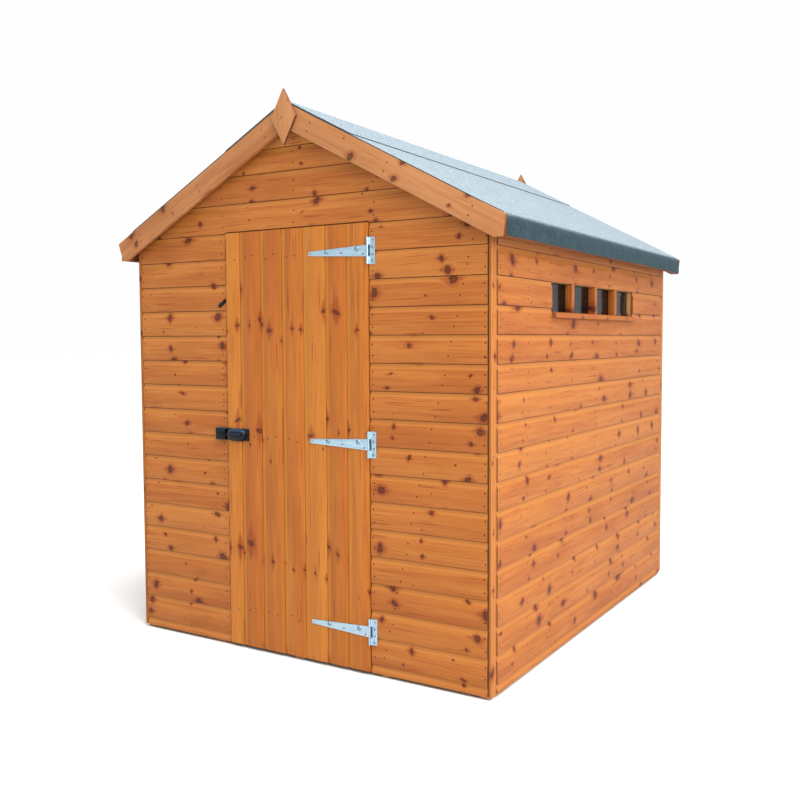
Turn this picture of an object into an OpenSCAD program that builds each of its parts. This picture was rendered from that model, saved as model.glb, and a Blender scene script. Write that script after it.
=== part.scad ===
// Timber garden shed, apex roof, one plank door and a high slit window.
// Origin: middle of the footprint at ground level. +X is the right-hand wall with
// the window, -Y is the front with the door, +Z is up. Millimetres.

/* [Walls] */
// width of the front and back panels
panel_w = 1832; // [1500:1:2400]
// length over the front and back faces
wall_len = 2220; // [1800:1:3000]
// thickness of the cladding boards
clad_t = 14; // [8:1:20]
// thickness of the strip at each corner
trim_t = 10; // [6:1:20]
// depth of the wall framing behind the cladding
frame_t = 34; // [28:1:50]
// width of a framing timber
stud_w = 44; // [28:1:60]
// height of the cladding's lower edge
clad_bottom = 12; // [0:1:40]

/* [Floor] */
// height of a floor bearer
bearer_h = 45; // [35:1:80]
// width of a floor bearer
bearer_w = 45; // [35:1:80]
// number of floor bearers
bearer_count = 5; // [3:1:9]
// thickness of the floor boards
floor_t = 15; // [12:1:22]

/* [Roof] */
// height of the top of the roof boards at the ridge
ridge_top = 2353; // [2000:1:2800]
// slope of the roof in degrees
roof_pitch = 27.7; // [15:0.1:40]
// level distance from the ridge to the eaves
roof_half = 1004; // [900:1:1200]
// distance from a gable wall to the outer face of its barge boards
verge = 47; // [30:1:80]
// thickness of the roof boards
roof_board_t = 12; // [9:1:20]
// slack left between a roof sheet and what it lies on
seat = 0.3; // [0.1:0.1:1]
// thickness of the felt
felt_t = 3; // [2:0.5:5]
// inner radius of the felt's fold at the eaves
fold_r = 20; // [5:1:30]
// depth of the felt that is turned down at the eaves
felt_drop = 80; // [40:1:100]
// level distance that the ridge felt reaches down each slope
ridge_felt_half = 330; // [200:1:500]
// plumb depth of a barge board
barge_depth = 106; // [80:1:140]
// thickness of a barge board
barge_t = 18; // [12:1:25]
// half the width of a finial
finial_half_w = 64; // [40:1:90]
// height of the middle of a finial
finial_mid = 2290; // [2000:1:2600]
// half the height of a finial
finial_half_h = 115; // [80:1:150]
// thickness of a finial
finial_t = 12; // [9:1:20]

/* [Door] */
// width of the door opening
opening_w = 765; // [600:1:1000]
// height of the door opening's top edge
opening_top = 1845.5; // [1700:0.5:2000]
// width of the door leaf
leaf_w = 754; // [590:1:990]
// height of the door leaf's lower edge
leaf_bottom = 14; // [5:1:40]
// height of the door leaf's top edge
leaf_top = 1840; // [1690:1:1990]
// distance that the leaf stands proud of the wall
leaf_proud = 5; // [0:1:12]
// width of a jamb timber, which also stops the door
jamb_w = 76; // [60:1:100]
// reach of the jambs and head behind the leaf
stop_reach = 18; // [10:1:30]
// heights of the hinges and of the ledges behind them
hinge_z = [181, 949, 1728];
// width of a door ledge
ledge_w = 94; // [70:1:140]
// thickness of a door ledge
ledge_t = 20; // [15:1:30]
// length of a ledge or the level reach of a brace
ledge_len = 690; // [500:1:740]

/* [Hinges and lock] */
// distance of the hinge axis in front of the wall
axis_out = 10.5; // [8:0.5:20]
// radius of a hinge knuckle
knuckle_r = 5; // [4:0.5:8]
// radius of a hinge pin
pin_r = 2.5; // [2:0.1:4]
// radial play of a hinge pin
pin_play = 0.1; // [0.05:0.05:0.2]
// height of a hinge plate
plate_h = 108; // [80:1:140]
// width of a hinge plate from the hinge axis
plate_w = 32; // [25:1:50]
// thickness of the hinge metal
hinge_t = 2.5; // [2:0.5:4]
// length of a strap from the hinge axis to its tip
strap_len = 298; // [200:1:400]
// height of a strap at the hinge
strap_h = 45; // [30:1:60]
// radius of a strap's round tip
strap_tip_r = 9; // [6:1:14]
// height of the lock's middle
lock_z = 956; // [800:1:1200]
// length of the lock case along the door
lock_len = 124; // [80:1:180]
// height of the lock case and its keeper
lock_h = 54; // [40:1:80]
// length of the keeper on the wall
keeper_len = 58; // [40:1:90]
// gap between the lock case and the keeper
lock_gap = 8; // [5:1:15]

/* [Window] */
// front and rear edges of the window opening, along the wall
window_y = [-540, 545];
// lower and upper edges of the window opening
window_z = [1489, 1616];
// near edges of the bars, along the wall
bar_y = [-313, -24, 257];
// width of a bar
bar_w = 27; // [20:1:40]
// depth of a bar from the cladding's face to the glass
bar_d = 34; // [20:1:46]
// thickness of the glass
glass_t = 4; // [3:1:6]
// depth of the sill below the opening
sill_h = 25; // [15:1:40]
// distance that the sill stands out from the cladding
sill_out = 18; // [10:1:40]

/* [Hidden] */
half_panel = panel_w / 2;
half_out = half_panel + clad_t;
half_trim = half_panel + trim_t;
half_len = wall_len / 2;
front_y = -half_len;
wall_t = clad_t + frame_t;
side_len = wall_len - 2 * wall_t;
frame_bottom = bearer_h + floor_t;
rise = tan(roof_pitch);
board_plumb = roof_board_t / cos(roof_pitch);
felt_plumb = felt_t / cos(roof_pitch);
eaves_top = ridge_top - rise * roof_half;
fold_turn = 90 - roof_pitch;
fold_reach = fold_r * tan(fold_turn / 2);
fold_x = roof_half - fold_reach * cos(roof_pitch);
felt_foot = eaves_top - felt_drop;
verge_y = half_len + verge;
roof_y = verge_y - barge_t;
leaf_face = front_y - leaf_proud;
axis_x = leaf_w / 2 + 3;
axis_y = front_y - axis_out;
head_bottom = opening_top - stop_reach;
jamb_inner = opening_w / 2 - stop_reach;
inner_stud_w = 28;
timber_brown = "#C27A42";
door_brown = "#CC8344";
felt_green = "#7F949A";
galvanised = "#AEB6BB";
lock_black = "#1D1E20";
// near edges of the studs of a side wall, three of them in line with the bars
side_stud_y = concat([-800, window_y[0] - inner_stud_w], bar_y, [window_y[1], 790]);

// height of the roof boards' upper face at a point x
function over_roof(x) = ridge_top - rise * abs(x);

// height just under the roof boards at a point x
function under_roof(x) = over_roof(x) - board_plumb - seat;

// a block from its lowest corner to its highest
module block(lo, hi) {
    translate(lo)
        cube(hi - lo);
}

// an outline in X and Z, made solid from y0 to y1
module upright(y0, y1) {
    translate([0, y1, 0])
        rotate([90, 0, 0])
            linear_extrude(height = y1 - y0)
                children();
}

// the same piece at the front and at the back
module front_and_back() {
    children();
    mirror([0, 1, 0])
        children();
}

// the same piece on the right and on the left
module right_and_left() {
    children();
    mirror([1, 0, 0])
        children();
}

// a piece on the +X side, or its mirror on the -X side
module on_side(side) {
    if (side > 0)
        children();
    else
        mirror([1, 0, 0])
            children();
}

// the outline of a gable from z0 up to the roof boards
module gable_outline(z0, half_w) {
    polygon([
        [-half_w, z0],
        [half_w, z0],
        [half_w, under_roof(half_w)],
        [0, under_roof(0)],
        [-half_w, under_roof(half_w)],
    ]);
}

// ---- floor ----

module floor_bearers() {
    pitch = (panel_w - bearer_w) / (bearer_count - 1);
    color(timber_brown)
        for (i = [0:bearer_count - 1])
            block(
                [-half_panel + i * pitch, front_y + clad_t, 0],
                [-half_panel + i * pitch + bearer_w, half_len - clad_t, bearer_h]
            );
}

module floor_boards() {
    color(timber_brown)
        block(
            [-half_panel, front_y + clad_t, bearer_h],
            [half_panel, half_len - clad_t, frame_bottom]
        );
}

// ---- front panel ----

// cladding beside the door
module front_cladding(side) {
    color(timber_brown)
        on_side(side)
            block(
                [opening_w / 2, front_y, clad_bottom],
                [half_panel, front_y + clad_t, opening_top]
            );
}

module front_cladding_left() {
    front_cladding(-1);
}

module front_cladding_right() {
    front_cladding(1);
}

module front_cladding_gable() {
    color(timber_brown)
        upright(front_y, front_y + clad_t)
            gable_outline(opening_top, half_panel);
}

// an upright timber of an end panel, from x0 to x1
module end_stud(x0, x1, z0, z1) {
    block([x0, front_y + clad_t, z0], [x1, front_y + wall_t, z1]);
}

module front_studs() {
    color(timber_brown) {
        right_and_left() {
            end_stud(half_panel - stud_w, half_panel, frame_bottom + stud_w, head_bottom);
            end_stud(jamb_inner, jamb_inner + jamb_w, frame_bottom, head_bottom);
        }
        king_post(head_bottom + stud_w);
    }
}

// the post under the ridge, cut to the roof's slope
module king_post(z0) {
    intersection() {
        end_stud(-stud_w / 2, stud_w / 2, z0, ridge_top);
        upright(front_y, 0)
            gable_outline(z0, half_panel);
    }
}

// a level timber of an end panel, cut to the roof's slope where it meets it
module end_rail(x0, x1, z0) {
    intersection() {
        end_stud(x0, x1, z0, z0 + stud_w);
        upright(front_y, 0)
            gable_outline(z0, half_panel);
    }
}

module front_rails() {
    color(timber_brown) {
        right_and_left()
            end_rail(jamb_inner + jamb_w, half_panel, frame_bottom);
        end_rail(-half_panel, half_panel, head_bottom);
    }
}

// ---- back panel ----

module back_cladding() {
    color(timber_brown)
        upright(half_len - clad_t, half_len)
            gable_outline(clad_bottom, half_panel);
}

module back_studs() {
    color(timber_brown)
        mirror([0, 1, 0]) {
            right_and_left() {
                end_stud(half_panel - stud_w, half_panel, frame_bottom + stud_w, head_bottom);
                end_stud(400, 400 + stud_w, frame_bottom + stud_w, head_bottom);
            }
            end_stud(-stud_w / 2, stud_w / 2, frame_bottom + stud_w, head_bottom);
            king_post(head_bottom + stud_w);
        }
}

module back_rails() {
    color(timber_brown)
        mirror([0, 1, 0]) {
            end_rail(-half_panel, half_panel, frame_bottom);
            end_rail(-half_panel, half_panel, head_bottom);
        }
}

// the sloping timbers of both gables, between the head rail and the king post
module gable_rafters() {
    plumb = stud_w / cos(roof_pitch);
    top = head_bottom + stud_w;
    foot = (under_roof(0) - top) / rise;
    inner = (under_roof(0) - plumb - top) / rise;
    color(timber_brown)
        front_and_back()
            right_and_left()
                upright(front_y + clad_t, front_y + wall_t)
                    polygon([
                        [foot, top],
                        [inner, top],
                        [stud_w / 2, under_roof(stud_w / 2) - plumb],
                        [stud_w / 2, under_roof(stud_w / 2)],
                    ]);
}

// ---- side panels ----

// a sheet on a side wall out to x1, from z0 to z1 or up to the roof
module side_sheet(x1, y0, y1, z0, z1) {
    upright(y0, y1)
        polygon([
            [half_panel, z0],
            [x1, z0],
            [x1, min(z1, under_roof(x1))],
            [half_panel, min(z1, under_roof(half_panel))],
        ]);
}

module side_cladding(y0, y1, z0, z1) {
    side_sheet(half_out, y0, y1, z0, z1);
}

module left_cladding() {
    color(timber_brown)
        mirror([1, 0, 0])
            side_cladding(-side_len / 2, side_len / 2, clad_bottom, ridge_top);
}

module right_cladding_low() {
    color(timber_brown)
        side_cladding(-side_len / 2, side_len / 2, clad_bottom, window_z[0]);
}

module right_cladding_high() {
    color(timber_brown)
        side_cladding(-side_len / 2, side_len / 2, window_z[1], ridge_top);
}

// the cladding in front of and behind the window
module right_cladding_ends() {
    color(timber_brown) {
        side_cladding(-side_len / 2, window_y[0], window_z[0], window_z[1]);
        side_cladding(window_y[1], side_len / 2, window_z[0], window_z[1]);
    }
}

// an upright timber of a side wall, starting at y
module side_stud(y, w, z0, z1) {
    block([half_panel - frame_t, y, z0], [half_panel, y + w, z1]);
}

// the upright timbers of a side wall between two levels
module side_studs(z0, z1) {
    side_stud(-side_len / 2, stud_w, z0, z1);
    side_stud(side_len / 2 - stud_w, stud_w, z0, z1);
    for (y = side_stud_y)
        side_stud(y, inner_stud_w, z0, z1);
}

// a level timber along a side wall
module side_rail(z) {
    side_stud(-side_len / 2, side_len, z, z + stud_w);
}

// the plate that the roof boards rest on, cut to their slope
module wall_plate() {
    upright(-side_len / 2, side_len / 2)
        polygon([
            [half_panel - frame_t, under_roof(half_panel) - stud_w],
            [half_panel, under_roof(half_panel) - stud_w],
            [half_panel, under_roof(half_panel)],
            [half_panel - frame_t, under_roof(half_panel - frame_t)],
        ]);
}

module left_studs() {
    color(timber_brown)
        mirror([1, 0, 0])
            side_studs(frame_bottom + stud_w, under_roof(half_panel) - stud_w);
}

module left_rails() {
    color(timber_brown)
        mirror([1, 0, 0]) {
            side_rail(frame_bottom);
            wall_plate();
        }
}

// the studs stop at the rails below and above the window
module right_studs() {
    color(timber_brown) {
        side_studs(frame_bottom + stud_w, window_z[0] - stud_w);
        side_studs(window_z[1] + stud_w, under_roof(half_panel) - stud_w);
        side_stud(-side_len / 2, stud_w, window_z[0], window_z[1]);
        side_stud(side_len / 2 - stud_w, stud_w, window_z[0], window_z[1]);
        side_stud(window_y[0] - inner_stud_w, inner_stud_w, window_z[0], window_z[1]);
        side_stud(window_y[1], inner_stud_w, window_z[0], window_z[1]);
    }
}

module right_rails() {
    color(timber_brown) {
        side_rail(frame_bottom);
        side_rail(window_z[0] - stud_w);
        side_rail(window_z[1]);
        wall_plate();
    }
}

// a strip at each corner, over the end of the front or back panel
module corner_trims() {
    color(timber_brown)
        front_and_back()
            right_and_left()
                side_sheet(half_trim, front_y, front_y + wall_t, clad_bottom, ridge_top);
}

// ---- window ----

module window_bars() {
    color(timber_brown)
        for (y = bar_y)
            block([half_out - bar_d, y, window_z[0]], [half_out, y + bar_w, window_z[1]]);
}

module window_glass() {
    color("#4E6A70", 0.5)
        block(
            [half_out - bar_d - glass_t, window_y[0], window_z[0]],
            [half_out - bar_d, window_y[1], window_z[1]]
        );
}

module window_sill() {
    slope = 5;
    color(timber_brown)
        upright(window_y[0], window_y[1])
            polygon([
                [half_out, window_z[0] - sill_h],
                [half_out + sill_out, window_z[0] - sill_h],
                [half_out + sill_out, window_z[0] - slope],
                [half_out, window_z[0]],
            ]);
}

// ---- roof ----

// a sheet on the right-hand slope, between two level distances from the ridge
module slope_sheet(x0, x1, lift, thick, half_y) {
    upright(-half_y, half_y)
        polygon([
            [x0, over_roof(x0) + lift],
            [x1, over_roof(x1) + lift],
            [x1, over_roof(x1) + lift + thick],
            [x0, over_roof(x0) + lift + thick],
        ]);
}

// the roof boards of one slope, their eaves edge eased under the felt's fold
module roof_boards(side) {
    color(timber_brown)
        on_side(side)
            upright(-roof_y, roof_y)
                polygon([
                    [0, over_roof(0)],
                    [fold_x, over_roof(fold_x)],
                    [roof_half, over_roof(roof_half) - fold_reach],
                    [roof_half, over_roof(roof_half) - board_plumb],
                    [0, over_roof(0) - board_plumb],
                ]);
}

module roof_boards_left() {
    roof_boards(-1);
}

module roof_boards_right() {
    roof_boards(1);
}

module roof_purlins() {
    purlin_w = 28;
    color(timber_brown)
        right_and_left()
            for (x = [310, 620])
                upright(front_y + wall_t, half_len - wall_t)
                    polygon([
                        [x, under_roof(x + purlin_w) - stud_w],
                        [x + purlin_w, under_roof(x + purlin_w) - stud_w],
                        [x + purlin_w, under_roof(x + purlin_w)],
                        [x, under_roof(x)],
                    ]);
}

// the rails under the roof boards' edges, which back the turned-down felt
module eaves_rails() {
    rail_t = 20;
    color(timber_brown)
        right_and_left()
            upright(-roof_y, roof_y)
                polygon([
                    [roof_half - rail_t, felt_foot],
                    [roof_half, felt_foot],
                    [roof_half, under_roof(roof_half)],
                    [roof_half - rail_t, under_roof(roof_half - rail_t)],
                ]);
}

// the points of the felt's fold at the eaves, at radius r about its centre
function fold_points(r) = [
    for (i = [0:8])
        let (turn = fold_turn * i / 8)
        [
            roof_half + seat - fold_r + r * sin(roof_pitch + turn),
            eaves_top + seat - fold_reach + r * cos(roof_pitch + turn)
        ]
];

function backwards(list) = [for (i = [len(list) - 1:-1:0]) list[i]];

// felt over one slope and its barge boards, folded down between them at the eaves
module roof_felt(side) {
    color(felt_green)
        on_side(side) {
            slope_sheet(0, fold_x, seat, felt_plumb, verge_y);
            upright(-roof_y, roof_y)
                polygon(concat(
                    [[fold_x - 1, over_roof(fold_x - 1) + seat + felt_plumb]],
                    fold_points(fold_r + felt_t),
                    [[roof_half + seat + felt_t, felt_foot], [roof_half + seat, felt_foot]],
                    backwards(fold_points(fold_r)),
                    [[fold_x - 1, over_roof(fold_x - 1) + seat]]
                ));
        }
}

module roof_felt_left() {
    roof_felt(-1);
}

module roof_felt_right() {
    roof_felt(1);
}

// a strip of felt over the ridge
module ridge_felt() {
    color(felt_green)
        right_and_left()
            slope_sheet(0, ridge_felt_half, felt_plumb + 2 * seat, felt_plumb, verge_y);
}

// ---- barge boards and finials ----

// one barge board; foot_in is how far its plumb end leans in on the way down
module barge_board(side, foot_in) {
    end_h = 80;
    end_x = roof_half + felt_t;
    end_z = ridge_top - rise * end_x;
    low_x = (ridge_top - barge_depth - end_z + end_h) / rise;
    color(timber_brown)
        on_side(side)
            upright(-verge_y, -roof_y)
                polygon([
                    [0, ridge_top],
                    [end_x, end_z],
                    [end_x - foot_in, end_z - end_h],
                    [low_x, end_z - end_h],
                    [0, ridge_top - barge_depth],
                ]);
}

module barge_board_front_left() {
    barge_board(-1, 28);
}

module barge_board_front_right() {
    barge_board(1, 9);
}

module barge_board_back_left() {
    mirror([0, 1, 0])
        barge_board(-1, 9);
}

module barge_board_back_right() {
    mirror([0, 1, 0])
        barge_board(1, 28);
}

module finial() {
    color(timber_brown)
        upright(-verge_y - finial_t, -verge_y)
            polygon([
                [0, finial_mid - finial_half_h],
                [finial_half_w, finial_mid],
                [0, finial_mid + finial_half_h],
                [-finial_half_w, finial_mid],
            ]);
}

module finial_front() {
    finial();
}

module finial_back() {
    mirror([0, 1, 0])
        finial();
}

// ---- door ----

module door_boards() {
    color(door_brown)
        block(
            [-leaf_w / 2, leaf_face, leaf_bottom],
            [leaf_w / 2, leaf_face + clad_t, leaf_top]
        );
}

module door_ledges() {
    color(door_brown)
        for (z = hinge_z)
            block(
                [-ledge_len / 2, leaf_face + clad_t, z - ledge_w / 2],
                [ledge_len / 2, leaf_face + clad_t + ledge_t, z + ledge_w / 2]
            );
}

// braces that rise from the hinge side to the lock side
module door_braces() {
    foot = 110;
    color(door_brown)
        for (i = [0, 1])
            upright(leaf_face + clad_t, leaf_face + clad_t + ledge_t)
                polygon([
                    [ledge_len / 2, hinge_z[i] + ledge_w / 2],
                    [ledge_len / 2 - foot, hinge_z[i] + ledge_w / 2],
                    [-ledge_len / 2, hinge_z[i + 1] - ledge_w / 2],
                    [-ledge_len / 2 + foot, hinge_z[i + 1] - ledge_w / 2],
                ]);
}

// a knuckle about the hinge axis, from z0 to z1 measured from the hinge's middle
module knuckle(z0, z1) {
    translate([axis_x, axis_y, z0])
        cylinder(r = knuckle_r, h = z1 - z0, $fn = 48);
}

// the plate on the wall with its two outer knuckles and the pin
module hinge_plates() {
    gap = 0.5;
    web = 5;
    color(galvanised)
        for (z = hinge_z)
            translate([0, 0, z]) {
                block(
                    [axis_x + knuckle_r, front_y - hinge_t, -plate_h / 2],
                    [axis_x + plate_w, front_y, plate_h / 2]
                );
                for (side = [-1, 1])
                    mirror([0, 0, side < 0 ? 1 : 0]) {
                        knuckle(strap_h / 2 + gap, plate_h / 2);
                        block(
                            [axis_x + 1, axis_y, strap_h / 2 + gap],
                            [axis_x + knuckle_r + web, front_y - hinge_t, plate_h / 2]
                        );
                    }
                translate([axis_x, axis_y, -plate_h / 2])
                    cylinder(r = pin_r, h = plate_h, $fn = 48);
            }
}

// a tapered strap with a round tip and the knuckle that turns on the pin
module hinge_strap() {
    difference() {
        union() {
            upright(leaf_face - hinge_t, leaf_face)
                hull() {
                    translate([axis_x - knuckle_r, -strap_h / 2])
                        square([knuckle_r - 1, strap_h]);
                    translate([axis_x - strap_len + strap_tip_r, 0])
                        circle(r = strap_tip_r, $fn = 48);
                }
            knuckle(-strap_h / 2, strap_h / 2);
        }
        translate([axis_x, axis_y, -strap_h])
            cylinder(r = pin_r + pin_play, h = 2 * strap_h, $fn = 48);
    }
}

module hinge_straps() {
    color(galvanised)
        for (z = hinge_z)
            translate([0, 0, z])
                hinge_strap();
}

// the lock case at the door's free edge: a back plate and a raised body
module lock_case() {
    plate_t = 4;
    body_out = 36;
    edge = 8;
    color(lock_black)
        translate([-leaf_w / 2, leaf_face, lock_z]) {
            block([0, -plate_t, -lock_h / 2], [lock_len, 0, lock_h / 2]);
            block(
                [edge, -body_out, edge - lock_h / 2],
                [lock_len - 4 * edge, -plate_t, lock_h / 2 - edge]
            );
        }
}

module lock_keeper() {
    keeper_out = 20;
    color(lock_black)
        translate([-leaf_w / 2 - lock_gap, front_y, lock_z])
            block([-keeper_len, -keeper_out, -lock_h / 2], [0, 0, lock_h / 2]);
}

// a short bar fixed slantwise on the wall, cut plumb at the door opening
module turn_bar() {
    bar_rise = 32;
    bar_reach = 42;
    bar_h = 18;
    bar_t = 8;
    bar_z = 1524;
    color(lock_black)
        upright(front_y - bar_t, front_y)
            polygon([
                [-opening_w / 2, bar_z + bar_rise],
                [-opening_w / 2 - bar_reach + bar_h / 2, bar_z + bar_h / 2],
                [-opening_w / 2 - bar_reach, bar_z],
                [-opening_w / 2 - bar_reach + bar_h / 2, bar_z - bar_h / 2],
                [-opening_w / 2, bar_z + bar_rise - bar_h],
            ]);
}

floor_bearers();
floor_boards();
front_cladding_left();
front_cladding_right();
front_cladding_gable();
front_studs();
front_rails();
back_cladding();
back_studs();
back_rails();
gable_rafters();
left_cladding();
left_studs();
left_rails();
right_cladding_low();
right_cladding_high();
right_cladding_ends();
right_studs();
right_rails();
corner_trims();
window_bars();
window_glass();
window_sill();
roof_boards_left();
roof_boards_right();
roof_purlins();
eaves_rails();
roof_felt_left();
roof_felt_right();
ridge_felt();
barge_board_front_left();
barge_board_front_right();
barge_board_back_left();
barge_board_back_right();
finial_front();
finial_back();
door_boards();
door_ledges();
door_braces();
hinge_plates();
hinge_straps();
lock_case();
lock_keeper();
turn_bar();
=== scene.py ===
# %% [markdown]
# # A timber garden shed
#
# The real shed is a small wooden building that comes as flat panels: shiplap boards nailed
# to a light frame, an apex roof of boards under mineral felt, one plank door and a high slit
# window. The frame below already holds every structural part in metres, with the front facing
# -Y and the window wall on +X. This lesson gives those parts the look of the real thing: the
# shaped boards, the nails, the hinges, the lock, the felt and the wood itself.

# %% Load the frame
import math
import random
from functools import partial

import bmesh
import bpy
from mathutils import Matrix, Vector


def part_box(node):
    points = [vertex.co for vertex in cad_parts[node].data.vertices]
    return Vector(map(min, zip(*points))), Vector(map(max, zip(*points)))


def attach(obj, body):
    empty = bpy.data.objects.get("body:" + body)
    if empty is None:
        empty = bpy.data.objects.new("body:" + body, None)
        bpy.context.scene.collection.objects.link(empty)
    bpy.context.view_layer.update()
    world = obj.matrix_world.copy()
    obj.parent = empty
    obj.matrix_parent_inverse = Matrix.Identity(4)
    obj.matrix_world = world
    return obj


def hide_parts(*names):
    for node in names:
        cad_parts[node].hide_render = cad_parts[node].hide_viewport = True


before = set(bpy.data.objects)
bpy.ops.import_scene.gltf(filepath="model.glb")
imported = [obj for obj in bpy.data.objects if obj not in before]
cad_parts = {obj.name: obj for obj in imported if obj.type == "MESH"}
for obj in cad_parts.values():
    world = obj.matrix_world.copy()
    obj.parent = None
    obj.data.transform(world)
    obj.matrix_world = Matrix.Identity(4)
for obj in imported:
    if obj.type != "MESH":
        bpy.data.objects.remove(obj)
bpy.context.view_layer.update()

# %% [markdown]
# ## Sizes
#
# Sizes could be typed in, but then they would drift from the panels as drawn. It is safer to
# read them off the boxes of the structural parts and to name each one. The slope of the roof
# comes from the rise and the run of one roof sheet.

# %% Read the sizes off the frame
left_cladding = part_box("front_cladding_left")
side_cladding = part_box("right_cladding_low")
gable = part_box("front_cladding_gable")
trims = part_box("corner_trims")
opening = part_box("window_glass")
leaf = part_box("door_boards")
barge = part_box("barge_board_front_right")
sheet_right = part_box("roof_boards_right")

HALF_PANEL = gable[1].x
FRONT_Y = gable[0].y
BOARD_T = gable[1].y - gable[0].y
PANEL_FOOT = left_cladding[0].z
DOORWAY = -left_cladding[1].x
DOORWAY_TOP = left_cladding[1].z
HALF_OUT = side_cladding[1].x
SIDE_END = side_cladding[1].y
RIDGE = barge[1].z
ROOF_HALF = sheet_right[1].x
VERGE_Y = -barge[0].y
ROOF_Y = -barge[1].y
ROOF_BOARD = 0.012
PITCH = math.radians(27.7)
RISE = math.tan(PITCH)
LEAF_FACE = leaf[0].y
LEAF_HALF = leaf[1].x
print("panel half", round(HALF_PANEL, 3), "ridge", round(RIDGE, 3), "front", round(FRONT_Y, 3))


def under_roof(x):
    """Height of the underside of the roof boards, with a hair of slack."""
    return RIDGE - RISE * abs(x) - ROOF_BOARD / math.cos(PITCH) - 0.0008


# %% [markdown]
# ## Colour, and one helper for shader nodes
#
# Colours are picked as sRGB hex values, the way a paint chart gives them, but a shader works
# in linear light. One function does the change. Another adds a node with its settings and
# what feeds it, so that each material below reads like a list of its layers. A sum node adds
# unless it is told otherwise, and a soft step runs from 0 to 1 between two values, or back
# from 1 to 0 when the first of them is the larger.

# %% Helpers for materials
TIMES = {"operation": "MULTIPLY"}
MINUS = {"operation": "SUBTRACT"}
RGBA = {"data_type": "RGBA"}
SOFT = {"interpolation_type": "SMOOTHSTEP"}
FLAT = {"noise_dimensions": "2D"}


def colour(hex_code):
    """An sRGB hex value as linear light."""
    parts = [int(hex_code[i : i + 2], 16) / 255 for i in (1, 3, 5)]
    linear = [p / 12.92 if p <= 0.04045 else ((p + 0.055) / 1.055) ** 2.4 for p in parts]
    return (*linear, 1.0)


def feed(node, feeds):
    """Each input takes a plain value, an output, or the first open output of a node."""
    for key, value in feeds.items():
        if isinstance(value, bpy.types.Node):
            value = next(out for out in value.outputs if out.enabled)
        if isinstance(value, bpy.types.NodeSocket):
            node.id_data.links.new(value, node.inputs[key])
        else:
            node.inputs[key].default_value = value


def add(tree, kind, *values, feeds=None, **settings):
    """One node: its settings, then values for its open inputs in order, or feeds by name."""
    made = tree.nodes.new("ShaderNode" + kind)
    for name, value in settings.items():
        setattr(made, name, value)
    places = [i for i, socket in enumerate(made.inputs) if socket.enabled]
    feed(made, dict(zip(places, values)))
    feed(made, feeds or {})
    return made


def new_material(name, constants):
    """A material, the helper bound to its nodes, and its surface with constant values."""
    made = bpy.data.materials.new(name)
    made.use_nodes = True
    made.node_tree.nodes.clear()
    put = partial(add, made.node_tree)
    surface = put("BsdfPrincipled", feeds=constants)
    put("OutputMaterial", feeds={"Surface": surface})
    return made, put, surface


def speckled(name, constants, grain, first, second):
    """A plain finish clouded between two colours; grain is the noise's scale and detail."""
    made, put, surface = new_material(name, constants)
    cloud = put("TexNoise", put("TexCoord").outputs["Object"], *grain)
    feed(surface, {"Base Color": put("Mix", cloud, colour(first), colour(second), **RGBA)})
    return made


print("helpers for materials ready")

# %% [markdown]
# ## Pine
#
# The cladding is fast-grown softwood, planed and then dipped in an orange-brown
# preservative. The eye reads four things: growth rings cut lengthways, which run along the
# board and close into arches; knots, dark and hard, about fifty to a square metre and up to
# 20 mm across, with the rings bending round them and a flame of reddish stain along the
# grain; fine fibres; and blotches where the wood drank more of the dip. A picture of wood
# could be wrapped on, but it would repeat from board to board. Here the pattern is worked
# out from the place on the board: u runs along the grain and v across it, both in metres,
# and each board starts at its own far-off spot, so no two boards match.

# %% The grain of pine, shared by all the wood
WHORL_EVERY = 0.31
KNOTS_EVERY = 0.060
RINGS_PER_METRE = 75.0
WALL_KNOTS = {
    "largest": 0.019,
    "slant": 1.8,
    "oval": 1.1,
    "every": WHORL_EVERY,
    "spread": 0.42,
    "flare": 2.2,
}
DOOR_KNOTS = {
    "largest": 0.019,
    "slant": 1.6,
    "oval": 1.5,
    "every": 0.50,
    "spread": 0.3,
    "flare": 3.6,
}


def pine_knots(put, spot, largest, slant, oval, every, spread, flare):
    """Distance from the nearest knot in knot sizes: an oval one, and a pointed one that
    reaches far along the grain, for the flame of resin above and below a knot."""
    drift = put("Math", put("TexNoise", spot, 1.7, 1.0, 0.5, **FLAT), 0.3, **TIMES)
    moved = put("VectorMath", spot, put("CombineXYZ", drift))
    wide = put("VectorMath", moved, (1 / every, 1 / KNOTS_EVERY, 1.0), **TIMES)
    cell = put("TexVoronoi", wide, 1.0, feeds={"Randomness": spread}, voronoi_dimensions="2D")
    away = put("VectorMath", wide, cell.outputs["Position"], **MINUS)
    parts = put("SeparateColor", cell.outputs["Color"])
    metres = put("VectorMath", away, (every, KNOTS_EVERY, 1.0), **TIMES)
    lean = put("Math", put("Math", parts.outputs[2], 0.5, **MINUS), slant, **TIMES)
    turned = put("VectorRotate", feeds={"Vector": metres, "Angle": lean}, rotation_type="Z_AXIS")
    ovals = put("VectorMath", turned, (oval, 1.0, 1.0), **TIMES)
    ragged = put("Math", put("TexNoise", spot, 70.0, 3.0, 0.5, **FLAT), 0.5, **MINUS)
    reach = put("VectorMath", ovals, operation="LENGTH")
    reach = put("Math", reach, put("Math", ragged, 0.015, **TIMES))
    size = put("Math", parts.outputs[0], 1.5, operation="POWER")
    size = put("Math", put("Math", size, largest, **TIMES), 0.0008)
    sides = put("SeparateXYZ", metres)
    along = put("Math", sides.outputs["X"], operation="ABSOLUTE")
    across = put("Math", sides.outputs["Y"], operation="ABSOLUTE")
    flame = put("Math", along, 1 / flare, **TIMES)
    flame = put("Math", flame, put("Math", across, 0.8, **TIMES))
    flame = put("Math", flame, put("Math", ragged, 0.01, **TIMES))
    return [put("Math", part, size, operation="DIVIDE") for part in (reach, flame)]


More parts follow.
